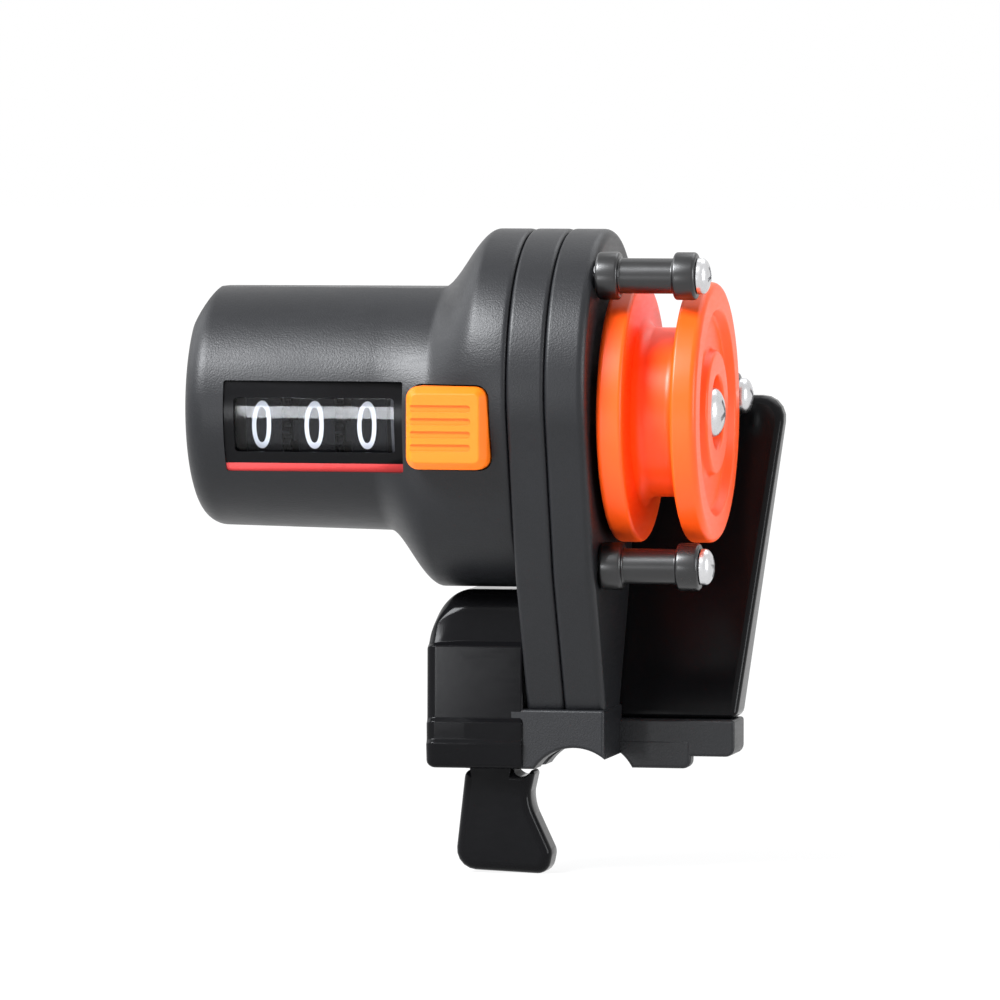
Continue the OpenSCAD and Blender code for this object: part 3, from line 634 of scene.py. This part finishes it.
def box_outline(node, room, radius):
    """A node's front outline in X and Z, with room around it and round corners."""
    lo, hi = low(node), high(node)
    return oblong(lo.x - room, hi.x + room, lo.z - room, hi.z + room, radius)


# Rows of [Y, inset] for a cut through the barrel's front wall, and for one through the whole part
FRONT_CUT = np.array([[-20 * MM, 0], [-6 * MM, 0]])
THROUGH = np.array([[-20 * MM, 0], [20 * MM, 0]])
BORE_R = 10.2 * MM
BORE_CONE = 2.3 * MM
END_WALL = 1.4 * MM


class DressCase(bpy.types.Operator):
    """The barrel and its flare, hollow, with the openings for the window and the button"""

    bl_idname = "line_counter.dress_case"
    bl_label = "Counter case"

    def execute(self, context):
        s = sizes()
        case = solid("case_shell", *closed_grid(case_rings()))
        slant = np.array([(-1.8, 3.6), (3.6, 16.2), (-1.8, 16.2)]) * MM + np.array([CASE_END_X, AXIS_Z])
        cut(case, prism("slant", slant, THROUGH, "y"))
        floor_x = CASE_END_X + END_WALL
        bore = np.array([
            [BORE_R - BORE_CONE, floor_x], [BORE_R, floor_x + BORE_CONE], [BORE_R, SEAM_X + 1 * MM],
        ])
        cut(case, lathe("bore", bore, (0, AXIS_Z + s.barrel_rise), 160))
        strip, rim = low("index_strip"), high("window_frame")
        opening = oblong(strip.x, rim.x, strip.z, rim.z, 0.25 * MM)
        cut(case, prism("window_cut", opening, FRONT_CUT, "y"))
        cut(case, prism("button_cut", box_outline("reset_button", 0.15 * MM, 1.3 * MM), FRONT_CUT, "y"))
        dress(case, "housing", "case_black", "counter_case")
        return {"FINISHED"}


class DressHousing(bpy.types.Operator):
    """The gear case and its cover, with rounded rims and room for the gears"""

    bl_idname = "line_counter.dress_housing"
    bl_label = "Gear housing"

    def execute(self, context):
        s = sizes()
        shell = housing_shell("gear_shell", edge_rows(SEAM_X, COVER_X, s.seam_round, s.seam_round))
        for well in gear_room(SEAM_X + 0.9 * MM, COVER_X + 1 * MM):
            cut(shell, well)
        dress(shell, "housing", "case_black", "gear_case")
        cover = housing_shell("cover_shell", edge_rows(COVER_X, FACE_X, s.seam_round, s.cover_round, 7))
        back = middle("guide_roller_back")
        ear_r = high("gear_cover").y - back.y
        edge = 0.4 * MM
        ear = np.array([[ear_r, COVER_X + 0.2 * MM], [ear_r, FACE_X - edge], [ear_r - edge, FACE_X]])
        cut(cover, lathe("ear", ear, (back.y, back.z)), "UNION")
        for well in gear_room(COVER_X - 1 * MM, low("pulley_bush").x):
            cut(cover, well)
        dress(cover, "housing", "case_black", "gear_cover")
        return {"FINISHED"}


# Window and counter


def barrel_patch(name, node, r0, r1, bend=48):
    """A piece of the barrel's curve over a node's width and height, between two radii.
    A section is two arcs, Y = -sqrt(r^2 - z^2) about the barrel's axis, joined at their ends."""
    lo, hi = low(node), high(node)
    centre = AXIS_Z + sizes().barrel_rise
    z = np.linspace(lo.z, hi.z, bend) - centre
    inner, outer = (np.stack([-np.sqrt(r * r - z * z), z + centre], axis=1) for r in (r0, r1))
    ring = np.vstack([outer, inner[::-1]])
    return carried(name, np.stack([ring, ring]), np.array([lo.x, hi.x]), "x")


RIM_BORE_R = 10.35 * MM
RIM_SUNK = 0.15 * MM
# How far the frame's opening keeps inside the lens, below and above
SILL = 0.1 * MM
BROW = 0.65 * MM


class DressWindow(bpy.types.Operator):
    """The window's frame, its clear lens and the red strip under it"""

    bl_idname = "line_counter.dress_window"
    bl_label = "Window"

    def execute(self, context):
        face_r = sizes().barrel_end_r - RIM_SUNK
        rim = barrel_patch("window_rim", "window_frame", RIM_BORE_R, face_r)
        lo, hi = low("window_lens"), high("window_lens")
        sight = oblong(lo.x, hi.x, lo.z + SILL, hi.z - BROW, 0.35 * MM)
        cut(rim, prism("rim_cut", sight, FRONT_CUT, "y"))
        soften(rim, 0.12 * MM)
        dress(rim, "housing", "gloss_black", "window_frame")
        lens = barrel_patch("window_glass", "window_lens", RIM_BORE_R + 0.2 * MM, face_r - 0.3 * MM)
        dress(lens, "housing", "clear", "window_lens")
        strip = barrel_patch("red_strip", "index_strip", RIM_BORE_R, face_r + 0.05 * MM)
        soften(strip, 0.1 * MM)
        dress(strip, "housing", "red", "index_strip")
        return {"FINISHED"}


def soften(piece, width, segments=3, angle=35):
    """A live Bevel on the piece's sharp edges."""
    bevel = piece.modifiers.new("edge", "BEVEL")
    bevel.width = width
    bevel.segments = segments
    bevel.limit_method = "ANGLE"
    bevel.angle_limit = math.radians(angle)
    bevel.harden_normals = False


def points_of(mesh):
    """A mesh's points as an array."""
    co = np.zeros(len(mesh.vertices) * 3)
    mesh.vertices.foreach_get("co", co)
    return co.reshape(-1, 3)


DIGIT_WIDTH = 0.64
DIGIT_SLICES = 14


def digit_mesh(figure, height):
    """A flat figure as a mesh, its middle at the origin, sliced across so that it can be bent."""
    curve = bpy.data.curves.new("figure", "FONT")
    curve.body = figure
    curve.shear = 0.02
    holder = bpy.data.objects.new("figure", curve)
    bpy.context.scene.collection.objects.link(holder)
    bpy.context.view_layer.update()
    flat = bpy.data.meshes.new_from_object(holder.evaluated_get(bpy.context.evaluated_depsgraph_get()))
    bpy.data.objects.remove(holder)
    bpy.data.curves.remove(curve)
    co = points_of(flat)
    lo, hi = co.min(0), co.max(0)
    co = (co - (lo + hi) / 2) * height / (hi[1] - lo[1])
    co[:, 0] *= DIGIT_WIDTH
    flat.vertices.foreach_set("co", co.ravel())
    bm = bmesh.new()
    bm.from_mesh(flat)
    for level in np.linspace(-height / 2, height / 2, DIGIT_SLICES + 1)[1:-1]:
        parts = bm.verts[:] + bm.edges[:] + bm.faces[:]
        bmesh.ops.bisect_plane(bm, geom=parts, plane_co=(0, level, 0), plane_no=(0, 1, 0), dist=1e-8)
    bmesh.ops.triangulate(bm, faces=bm.faces)
    bm.to_mesh(flat)
    bm.free()
    co = points_of(flat)
    faces = np.zeros(len(flat.polygons) * 3, np.int64)
    flat.polygons.foreach_get("vertices", faces)
    bpy.data.meshes.remove(flat)
    return co, faces.reshape(-1, 3)


INK = 0.02 * MM
# The side boss of the two lower wheels, and the middle of the digits from the rim's left edge
WHEEL_BOSS = 0.7 * MM
DIGIT_X = 1.58 * MM
DIGIT_TURN = 0.05


class DressCounter(bpy.types.Operator):
    """White figures bent round the three digit wheels: height on the rim becomes an angle about the axle"""

    bl_idname = "line_counter.dress_counter"
    bl_label = "Digit wheels"

    def execute(self, context):
        axle = middle("counter_axle")
        flats = [digit_mesh(str(d), sizes().digit_height) for d in range(10)]
        for body in ("units", "tens", "hundreds"):
            node = "digit_wheel_" + body
            r = (high(node).z - low(node).z) / 2 + INK
            rim_x = low(node).x if body == "hundreds" else low(node).x + WHEEL_BOSS
            points, faces, start = [], [], 0
            for d, (flat, tris) in enumerate(flats):
                x = rim_x + DIGIT_X + flat[:, 0]
                a = math.pi + DIGIT_TURN - flat[:, 1] / r + d * TURN / 10
                points.append(np.stack([x, axle.y + r * np.cos(a), axle.z + r * np.sin(a)], axis=1))
                faces.append(tris + start)
                start += len(flat)
            mesh = bpy.data.meshes.new("figures_" + body)
            mesh.from_pydata(np.vstack(points).tolist(), [], np.vstack(faces).tolist())
            figures = bpy.data.objects.new("figures_" + body, mesh)
            context.scene.collection.objects.link(figures)
            dress(figures, body, "wheel_black", finish="digit_white")
        return {"FINISHED"}


GROOVE_PITCH = 1.25 * MM
GROOVE_HALF = 0.34 * MM
GROOVE_DEPTH = 0.24 * MM
SPRING_WIRE = 0.2 * MM


class DressButton(bpy.types.Operator):
    """The reset button: a bevelled block whose face is a row of finger grooves"""

    bl_idname = "line_counter.dress_button"
    bl_label = "Reset button"

    def execute(self, context):
        lo, hi = low("reset_button"), high("reset_button")
        outline = box_outline("reset_button", 0.0, 1.2 * MM)
        rim = [(0, 0.82), (0.05, 0.68), (0.16, 0.58), (0.78, 0.16), (0.92, 0.06), (1.1, 0)]
        rows = np.vstack([np.array(rim) * MM + [lo.y, 0], [[hi.y, 0]]])
        button = prism("reset_key", outline, rows, "y")
        count = sizes().ridges
        depth = np.array([[lo.y - 1 * MM, 0], [lo.y + GROOVE_DEPTH, 0]])
        for i in range(count):
            z = middle("reset_button").z + (i - (count - 1) / 2) * GROOVE_PITCH
            groove = oblong(lo.x + 0.5 * MM, hi.x - 1.5 * MM, z - GROOVE_HALF, z + GROOVE_HALF, 0.33 * MM)
            cut(button, prism("groove", groove, depth, "y"))
        soften(button, 0.1 * MM, 2)
        dress(button, "reset", "button_orange", "reset_button")
        spring = self.spring()
        dress(spring, "housing", "steel", "reset_spring")
        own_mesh(spring)
        return {"FINISHED"}

    def spring(self, turns=5, steps=150, around=10):
        """A round wire along a helix about Y: at each step a ring lies across the path."""
        lo, hi, at = low("reset_spring"), high("reset_spring"), middle("reset_spring")
        r = (hi.x - lo.x) / 2 - SPRING_WIRE
        t = np.linspace(0, 1, steps)
        a = t * turns * TURN
        out = np.stack([np.cos(a), np.zeros(steps), np.sin(a)], axis=1)
        path = r * out
        path[:, 0] += at.x
        path[:, 1] = mix(lo.y + SPRING_WIRE, hi.y - SPRING_WIRE, t)
        path[:, 2] += at.z
        along = np.gradient(path, axis=0)
        along /= np.linalg.norm(along, axis=1, keepdims=True)
        side = np.cross(along, out)
        b = np.arange(around) * TURN / around
        ring = np.cos(b)[None, :, None] * out[:, None] + np.sin(b)[None, :, None] * side[:, None]
        return solid("return_spring", *closed_grid(path[:, None] + SPRING_WIRE * ring))


# Pulley, rollers and screws


class DressPulley(bpy.types.Operator):
    """The pulley as one turned profile with rounded corners"""

    bl_idname = "line_counter.dress_pulley"
    bl_label = "Pulley"

    def execute(self, context):
        x0, x1 = low("pulley").x, high("pulley").x
        big = (high("pulley").z - low("pulley").z) / 2
        bore = 1.5 * MM
        groove = 8.2 * MM
        flange = 2.7 * MM
        draft = 0.2 * MM
        dish_x = x1 - 0.9 * MM
        seat_x = x1 - 1 * MM
        table = np.array([
            (bore, x0, 0.0), (big, x0, 0.6), (big, x0 + flange - draft, 0.4),
            (groove, x0 + flange, 1.2), (groove, x1 - flange, 1.2),
            (big, x1 - flange + draft, 0.4), (big, x1, 0.7),
            (big - 2.6 * MM, x1, 0.3), (big - 3.2 * MM, dish_x, 0.5), (6.2 * MM, dish_x, 0.4),
            (5.9 * MM, x1, 0.4), (3.6 * MM, x1, 0.3), (3.4 * MM, seat_x, 0.2), (bore, seat_x, 0.0),
        ])
        profile = rounded(table[:, :2], table[:, 2] * MM, 7)
        wheel = lathe_ring("pulley_wheel", profile, (0, AXIS_Z), 192)
        dress(wheel, "pulley_set", "pulley_orange", "pulley", angle=40)
        return {"FINISHED"}


def roller_profile(x0, x1, flange_r, waist_r, bore_r):
    """A roller's closed profile of [radius, X]: two flanges with rounded rims and a waist between them."""
    flange = 2.2 * MM
    table = np.array([
        (bore_r, x0, 0.0), (flange_r, x0, 0.35), (flange_r, x0 + flange, 0.35), (waist_r, x0 + flange, 0.2),
        (waist_r, x1 - flange, 0.2), (flange_r, x1 - flange, 0.35), (flange_r, x1, 0.35), (bore_r, x1, 0.0),
    ])
    return rounded(table[:, :2], table[:, 2] * MM, 6)


class DressRollers(bpy.types.Operator):
    """The three guide rollers as turned profiles"""

    bl_idname = "line_counter.dress_rollers"
    bl_label = "Guide rollers"

    def execute(self, context):
        for place in ("top", "bottom", "back"):
            node = "guide_roller_" + place
            lo, hi, at = low(node), high(node), middle(node)
            profile = roller_profile(lo.x, hi.x, (hi.z - lo.z) / 2, 1.7 * MM, 1.03 * MM)
            roller = lathe_ring("roller_" + place, profile, (at.y, at.z), 72)
            dress(roller, "roller_" + place, "gloss_black", node, finish="roller_black")
        return {"FINISHED"}


def cross_slot(x, r, at, turn):
    """A cross recess: two bars, turned about X."""
    arms = []
    for a in (turn, turn + math.pi / 2):
        u = np.array([math.cos(a), math.sin(a)])
        v = np.array([-u[1], u[0]])
        half = 0.19 * r
        bar = np.array([-u * r - v * half, u * r - v * half, u * r + v * half, -u * r + v * half])
        rows = np.array([[x - 0.28 * r, 0.0], [x + 1 * MM, 0.0]])
        arms.append(prism("slot", bar + np.array([at[0], at[1]]), rows, "x"))
    return arms


def screw(name, tip_x, seat_x, shank_r, head_r, head_h, at, turn):
    """A pan-head screw along X: a shank, a domed head and a cross recess."""
    a = np.linspace(0, math.pi / 2, 9)
    edge = 0.3 * head_h
    dome = np.stack([head_r * np.cos(a), seat_x + edge + (head_h - edge) * np.sin(a)], axis=1)[:-1]
    profile = np.vstack([[[shank_r, tip_x], [shank_r, seat_x], [head_r, seat_x]], dome,
                         [[0.08 * head_r, seat_x + head_h]]])
    made = lathe(name, profile, at, 64)
    for arm in cross_slot(seat_x + head_h, 0.55 * head_r, at, turn):
        cut(made, arm)
    return made


class DressScrews(bpy.types.Operator):
    """The pulley's screw and the three roller screws"""

    bl_idname = "line_counter.dress_screws"
    bl_label = "Screws"

    def execute(self, context):
        end = high("pulley").x
        hub = screw(
            "hub_screw", tip_x=end - 5 * MM, seat_x=end - 1 * MM, shank_r=0.8 * MM, head_r=2.4 * MM,
            head_h=1.7 * MM, at=(0, AXIS_Z), turn=0.5,
        )
        dress(hub, "pulley_set", "steel", "pulley_screw")
        for turn, place in enumerate(("top", "bottom", "back")):
            at = middle("guide_roller_" + place)
            seat = high("guide_roller_" + place).x + 0.1 * MM
            made = screw(
                "roller_screw_" + place, tip_x=low("roller_screws").x, seat_x=seat, shank_r=1 * MM,
                head_r=1.75 * MM, head_h=1.2 * MM, at=(at.y, at.z), turn=0.4 + turn,
            )
            dress(made, "housing", "steel", "roller_screws")
        return {"FINISHED"}


# Clamp. Corners and their rounds are in millimetres

BLOCK_BASE = 2.6
BLOCK_ROUND = 0.9 * MM
SHOULDER_LEN = 4 * MM
SHOULDER_DROP = 5.4 * MM
POCKET_HALF = 3.2 * MM
SCREW_BORE_R = 1.6 * MM
SEAT_X0 = -6.4
SEAT_TOP = 8.4
LEG_SCREWS_X = (-2.85 * MM, 1.0 * MM)
LEG_BORE_TOP = 6.3 * MM
FLOOR_X0 = 2.6
FLOOR_X1 = 14.3
FLOOR_TOP = 7.0
PAD_X1 = 10.0
PAD_TOP = 5.0
PLATE_SCREWS_X = (5.2 * MM, 12.0 * MM)
PLATE_SCREWS_Y = 7.4 * MM
PLATE_BORE_TOP = 4.2 * MM
PLATE_WIDEN = 2.6
PLATE_TOP_T = 2.6 * MM
PLATE_FOOT_T = 4.8 * MM
PLATE_ROUND = 0.8 * MM
JAW_TOP = 2.3
JAW_HEEL = 205
JAW_TIP_LEN = 4
JAW_ROUND = 1.0 * MM
JAW_PIN = (-8.5, 5.5)
PIN_HOLE_R = 1.03
HUB_R = 2.6


def post(name, x, y, z0, z1, r, around=48):
    """A plain round bar along Z."""
    a = np.arange(around) * TURN / around
    flat = np.stack([x + r * np.cos(a), y + r * np.sin(a), np.zeros(around)], axis=1)
    return solid(name, *closed_grid(np.stack([flat + [0, 0, z0], flat + [0, 0, z1]])))


def block_rings(steps=7, fill=19):
    """The finger block: a side outline with three steps, carried along X. Over its shoulder the outline is
    pressed down towards the outer end, along a quarter of an ellipse."""
    lo, hi = low("clamp_base"), high("clamp_base")
    front, base, top = lo.y / MM, BLOCK_BASE, hi.z / MM
    side = corners(
        (front + 0.3, base, 0.6), (-front, base, 0.3), (-front, top, 1.8), (front + 3.6, top, 1.6),
        (front + 2.0, top - 1.4, 2.2), (front + 1.25, top - 4.9, 0.2), (front + 0.7, top - 5.35, 0.25),
        (front + 0.6, base + 4.9, 0.2), (front + 0.25, base + 4.5, 0.2), (front + 0.3, base + 2.85, 0.2),
        (front, base + 2.45, 0.25),
    )
    ends = edge_rows(lo.x, SEAM_X - 0.3 * MM, BLOCK_ROUND, 0.25 * MM, steps)
    along = np.linspace(lo.x + BLOCK_ROUND, lo.x + SHOULDER_LEN, fill + 1)[1:]
    rows = np.vstack([ends[:steps], np.stack([along, np.zeros(fill)], axis=1), ends[steps:]])
    rings = np.stack([set_in(side, inset) for inset in rows[:, 1]])
    t = np.clip((rows[:, 0] - lo.x) / SHOULDER_LEN, 0, 1)
    press = np.sqrt(1 - (1 - t) ** 2)
    shoulder = hi.z - SHOULDER_DROP
    z = rings[..., 1]
    z = np.where(z > shoulder, shoulder + (z - shoulder) * press[:, None], z)
    return np.stack([np.broadcast_to(rows[:, :1], z.shape), rings[..., 0], z], axis=-1)


def plate_rings(edge, steps=7):
    """The thumb plate: a front outline that widens upwards, between two leaning faces, set in by rounds."""
    lo, hi = low("thumb_plate"), high("thumb_plate")
    x0, x1, z0, z1 = lo.x / MM, hi.x / MM, lo.z / MM, hi.z / MM
    face = corners((x0, z0, 0.3), (x1 - PLATE_WIDEN, z0, 0.9), (x1, z1, 2.4), (x0, z1, 1.0))
    a = np.linspace(0, math.pi / 2, steps)
    inset = edge * (1 - np.cos(a))
    depth = edge * (1 - np.sin(a))
    rings = np.stack([set_in(face, d) for d in inset])
    t = (rings[..., 1] - lo.z) / (hi.z - lo.z)
    front = mix(lo.y, hi.y - PLATE_TOP_T, t) + depth[:, None]
    back = mix(lo.y + PLATE_FOOT_T, hi.y, t) - depth[:, None]
    faces = [np.stack([rings[..., 0], y, rings[..., 1]], axis=-1) for y in (front, back)]
    return np.vstack([faces[0][::-1], faces[1]])


def round_rod(start, stop, room=0.0, count=24):
    """Corners along the rod's surface, with room around it, between two angles in degrees."""
    return arc((0, 0), ROD_R / MM + room, start, stop, count)


def claw():
    """The jaw's front outline: it follows the rod, then leaves it straight to a round tip."""
    heel = np.radians(JAW_HEEL)
    out = np.array([math.cos(heel), math.sin(heel)])
    along = np.array([-math.sin(heel), math.cos(heel)])
    tip = ROD_R / MM * out + JAW_TIP_LEN * along
    return corners(
        (-11.2, JAW_TOP, 0.8), (-12.3, -7.4, 2.0), (-3.0, -7.8, 1.5), (*tip, 1.3),
        round_rod(JAW_HEEL, 176, count=14), (-4.25, JAW_TOP, 0.4),
    )


class DressClamp(bpy.types.Operator):
    """The finger block, the rod's seat, the plate's floor and the thumb plate"""

    bl_idname = "line_counter.dress_clamp"
    bl_label = "Clamp"

    def execute(self, context):
        block = solid("finger_block", *closed_grid(block_rings()))
        pocket = drawn((-13.4, 1.6, 0.2), (-5.4, 1.6, 0.2), (-5.4, 11.7, 0.2), (-13.4, 11.7, 0.2))
        cut(block, prism("pocket", pocket, np.array([[-POCKET_HALF, 0], [POCKET_HALF, 0]]), "y"))
        dress(block, "housing", "gloss_black", "clamp_base", finish="jaw_black")
        self.seat()
        self.floor()
        plate = solid("thumb_rest", *closed_grid(plate_rings(PLATE_ROUND)))
        dress(plate, "housing", "gloss_black", "thumb_plate")
        return {"FINISHED"}

    def seat(self):
        """The arch over the rod under the housing's foot, with bores for the foot's screws."""
        arch = corners(
            (SEAT_X0, BLOCK_BASE, 0.2), round_rod(146.4, 50.35), (3.0, SEAT_TOP, 0.25),
            (SEAT_X0, SEAT_TOP, 0.2),
        )
        seat = tablet("rod_seat", arch, edge_rows(-4.8 * MM, 4.6 * MM, 0.3 * MM, 0.1 * MM), "y")
        for x in LEG_SCREWS_X:
            cut(seat, post("bore", x, 0, 0, LEG_BORE_TOP, SCREW_BORE_R))
        dress(seat, "housing", "case_black", "clamp_base")

    def floor(self):
        """The slab under the thumb plate, with bores for the plate's screws, and the pad in front of it."""
        slab = corners(
            round_rod(56.4, 46.3, 0.01, 8), (FLOOR_X1, 3.4, 0.9), (FLOOR_X1, FLOOR_TOP, 0.3),
            (FLOOR_X0, FLOOR_TOP, 0.2),
        )
        floor = tablet("plate_floor", slab, edge_rows(3.6 * MM, 9.4 * MM, 0.3 * MM, 0.4 * MM), "y")
        for x in PLATE_SCREWS_X:
            cut(floor, post("bore", x, PLATE_SCREWS_Y, 0, PLATE_BORE_TOP, SCREW_BORE_R))
        dress(floor, "housing", "case_black", "clamp_base")
        pad = corners(
            round_rod(56.4, 27.9, 0.01, 12), (PAD_X1, 2.2, 0.8), (PAD_X1, PAD_TOP, 0.2),
            (FLOOR_X0, PAD_TOP, 0.2),
        )
        foot = tablet("floor_foot", pad, edge_rows(3.55 * MM, 5.6 * MM, 0.35 * MM, 0.35 * MM), "y")
        dress(foot, "housing", "case_black", "clamp_base")


class DressJaw(bpy.types.Operator):
    """The hooked jaw with its hub"""

    bl_idname = "line_counter.dress_jaw"
    bl_label = "Jaw"

    def execute(self, context):
        lo, hi = low("clamp_jaw"), high("clamp_jaw")
        jaw = tablet("hook_jaw", claw(), edge_rows(lo.y, hi.y, JAW_ROUND, JAW_ROUND, 8), "y")
        hub = drawn((-6.8, 1.3, 0.2), arc(JAW_PIN, HUB_R, -10, 190, 40), (-10.4, 1.3, 0.2))
        cut(jaw, prism("hub", hub, np.array([[lo.y + 0.01 * MM, 0], [0.5 * MM, 0]]), "y"), "UNION")
        across = np.array([[-4 * MM, 0], [4 * MM, 0]])
        for name, centre, r in (("notch", (-5.5, 2.6), 0.9), ("hole", JAW_PIN, PIN_HOLE_R)):
            cut(jaw, prism(name, drawn(arc(centre, r, 0, 345, 24)), across, "y"))
        dress(jaw, "jaw", "gloss_black", "clamp_jaw", finish="jaw_black")
        return {"FINISHED"}


class DressInner(bpy.types.Operator):
    """Finishes for the frame's own nodes that stay as they are"""

    bl_idname = "line_counter.dress_inner"
    bl_label = "Inner pieces"

    def execute(self, context):
        slots = {p["node"]: p["material_slot"] for p in frame["record"]["subparts"]}
        for name, node in frame["nodes"].items():
            node.data.materials.clear()
            node.data.materials.append(finish_for(slots[name]))
        return {"FINISHED"}


# Stage

SEEN_BY = ("Is Camera Ray", "Is Glossy Ray", "Is Transmission Ray")
LAMP_TINT = (0.95, 0.97, 1.0)
CAMERA_TARGET = Vector((-8.2 * MM, 0, 28.4 * MM))
CAMERA_AZIMUTH = 11.4
CAMERA_ELEVATION = 3.0
CAMERA_AWAY = 0.9
CAMERA_LENS = 333.4
# Place of the small front lamp, whose mirror image is the bar of glare on the window
GLARE_X = -0.0673
GLARE_Z = 0.0188
STAGE_HALF = 3.0
STAGE_GREY = 0.75
# Share of white in what the camera sees of the floor: at the part, and what is added out to 0.2 m from it
STAGE_NEAR = 0.84
STAGE_FAR = 0.16
WORLD_LIGHT = 0.38


def aim(obj, place, target):
    """Puts an object at a place, looking at a target."""
    obj.location = place
    obj.rotation_euler = (Vector(target) - Vector(place)).to_track_quat("-Z", "Y").to_euler()


def lamp(name, place, target, size, power):
    """A soft lamp of size (width, height)."""
    data = bpy.data.lights.new(name, "AREA")
    data.shape = "RECTANGLE"
    data.size, data.size_y = size
    data.energy = power
    data.color = LAMP_TINT
    made = bpy.data.objects.new(name, data)
    made.visible_camera = False
    bpy.context.scene.collection.objects.link(made)
    aim(made, place, target)


class BuildStage(bpy.types.Operator):
    """A pale floor, soft lamps and the camera at the photograph's angle"""

    bl_idname = "line_counter.build_stage"
    bl_label = "Stage"

    def execute(self, context):
        scene = context.scene
        scene.view_settings.view_transform = "Standard"
        target = CAMERA_TARGET
        az, el = math.radians(CAMERA_AZIMUTH), math.radians(CAMERA_ELEVATION)
        way = Vector((math.sin(az) * math.cos(el), -math.cos(az) * math.cos(el), math.sin(el)))
        data = bpy.data.cameras.new("camera")
        data.sensor_width = 36
        data.lens = CAMERA_LENS
        data.clip_start = 0.05
        data.clip_end = 50
        camera = bpy.data.objects.new("camera", data)
        scene.collection.objects.link(camera)
        aim(camera, target + way * CAMERA_AWAY, target)
        scene.camera = camera
        self.floor(CAD_BOX[0][2])
        self.sky(scene)
        lamp("key", (-0.32, -0.36, 0.44), target, size=(0.28, 0.24), power=9.0)
        lamp("front", (GLARE_X, -0.211, GLARE_Z), (GLARE_X, 0, GLARE_Z), size=(0.0215, 0.0437), power=0.062)
        lamp("left", (-0.46, 0.06, 0.34), target, size=(0.44, 0.44), power=1.4)
        lamp("side", (0.46, -0.10, 0.06), target, size=(0.12, 0.34), power=1.6)
        lamp("top", (0.10, 0.24, 0.42), target, size=(0.30, 0.30), power=0.6)
        return {"FINISHED"}

    def floor(self, z):
        """A wide plain floor that shows white to the camera and keeps a soft shadow."""
        square = np.array([(-1, -1, 0), (1, -1, 0), (1, 1, 0), (-1, 1, 0)]) * STAGE_HALF
        made = solid("floor", square + [0, 0, z], [[0, 1, 2, 3]])
        f = Finish("floor white")
        rays = [f.node("ShaderNodeLightPath", out=kind) for kind in SEEN_BY]
        ray = rays[0].math("MAXIMUM", rays[0], rays[1].math("MAXIMUM", rays[1], rays[2]))
        matte = f.node("ShaderNodeBsdfDiffuse", None, {"Color": (STAGE_GREY, STAGE_GREY, STAGE_GREY, 1.0)})
        glow = f.node("ShaderNodeEmission", None, {"Color": (1.0, 1.0, 1.0, 1.0), "Strength": 1.06})
        far = f.node("ShaderNodeVectorMath", {"operation": "LENGTH"}, {0: f.place()}, out="Value")
        fade = far.math("MINIMUM", far * 5.0, 1.0)
        white = ray * (STAGE_NEAR + fade * STAGE_FAR)
        mixed = f.node("ShaderNodeMixShader", None, {0: white, 1: matte, 2: glow})
        f.tree.links.new(mixed.socket, f.output.inputs["Surface"])
        made.data.materials.append(f.material)

    def sky(self, scene):
        """A white world: full white to the camera and in mirrors and glass, softer as light."""
        world = bpy.data.worlds.new("white world")
        world.use_nodes = True
        scene.world = world
        tree = world.node_tree
        back = tree.nodes["Background"]
        back.inputs["Color"].default_value = (1, 1, 1, 1)
        path = tree.nodes.new("ShaderNodeLightPath")
        seen = path.outputs[SEEN_BY[0]]
        for kind in SEEN_BY[1:]:
            either = tree.nodes.new("ShaderNodeMath")
            either.operation = "MAXIMUM"
            tree.links.new(seen, either.inputs[0])
            tree.links.new(path.outputs[kind], either.inputs[1])
            seen = either.outputs[0]
        strength = tree.nodes.new("ShaderNodeMapRange")
        strength.inputs["To Min"].default_value = WORLD_LIGHT
        strength.inputs["To Max"].default_value = 1.0
        tree.links.new(seen, strength.inputs["Value"])
        tree.links.new(strength.outputs["Result"], back.inputs["Strength"])


class CounterPanel(bpy.types.Panel):
    """Lists the pieces and their settings"""

    bl_idname = "VIEW3D_PT_line_counter"
    bl_label = "Line counter"
    bl_space_type = "VIEW_3D"
    bl_region_type = "UI"
    bl_category = "Line counter"

    def draw(self, context):
        layout = self.layout
        for made in OPERATORS:
            layout.operator(made.bl_idname)
        for group in (context.scene.counter_sizes, context.scene.counter_colours):
            column = layout.column()
            for name in group.bl_rna.properties.keys():
                if name not in ("rna_type", "name"):
                    column.prop(group, name)


OPERATORS = (
    BuildStage, DressInner, DressCase, DressHousing, DressWindow, DressCounter, DressButton, DressPulley,
    DressRollers, DressScrews, DressClamp, DressJaw,
)
CLASSES = (CounterSizes, CounterColours, *OPERATORS, CounterPanel)


def register():
    """Registers the classes and the scene's settings."""
    for made in CLASSES:
        bpy.utils.register_class(made)
    bpy.types.Scene.counter_sizes = PointerProperty(type=CounterSizes)
    bpy.types.Scene.counter_colours = PointerProperty(type=CounterColours)


def unregister():
    """Removes the scene's settings and the classes."""
    del bpy.types.Scene.counter_colours
    del bpy.types.Scene.counter_sizes
    for made in reversed(CLASSES):
        bpy.utils.unregister_class(made)


def main():
    """Builds every piece in order."""
    register()
    bpy.ops.line_counter.build_stage()
    bpy.ops.line_counter.dress_inner()
    bpy.ops.line_counter.dress_case()
    bpy.ops.line_counter.dress_housing()
    bpy.ops.line_counter.dress_window()
    bpy.ops.line_counter.dress_counter()
    bpy.ops.line_counter.dress_button()
    bpy.ops.line_counter.dress_pulley()
    bpy.ops.line_counter.dress_rollers()
    bpy.ops.line_counter.dress_screws()
    bpy.ops.line_counter.dress_clamp()
    bpy.ops.line_counter.dress_jaw()


if __name__ == "__main__":
    main()
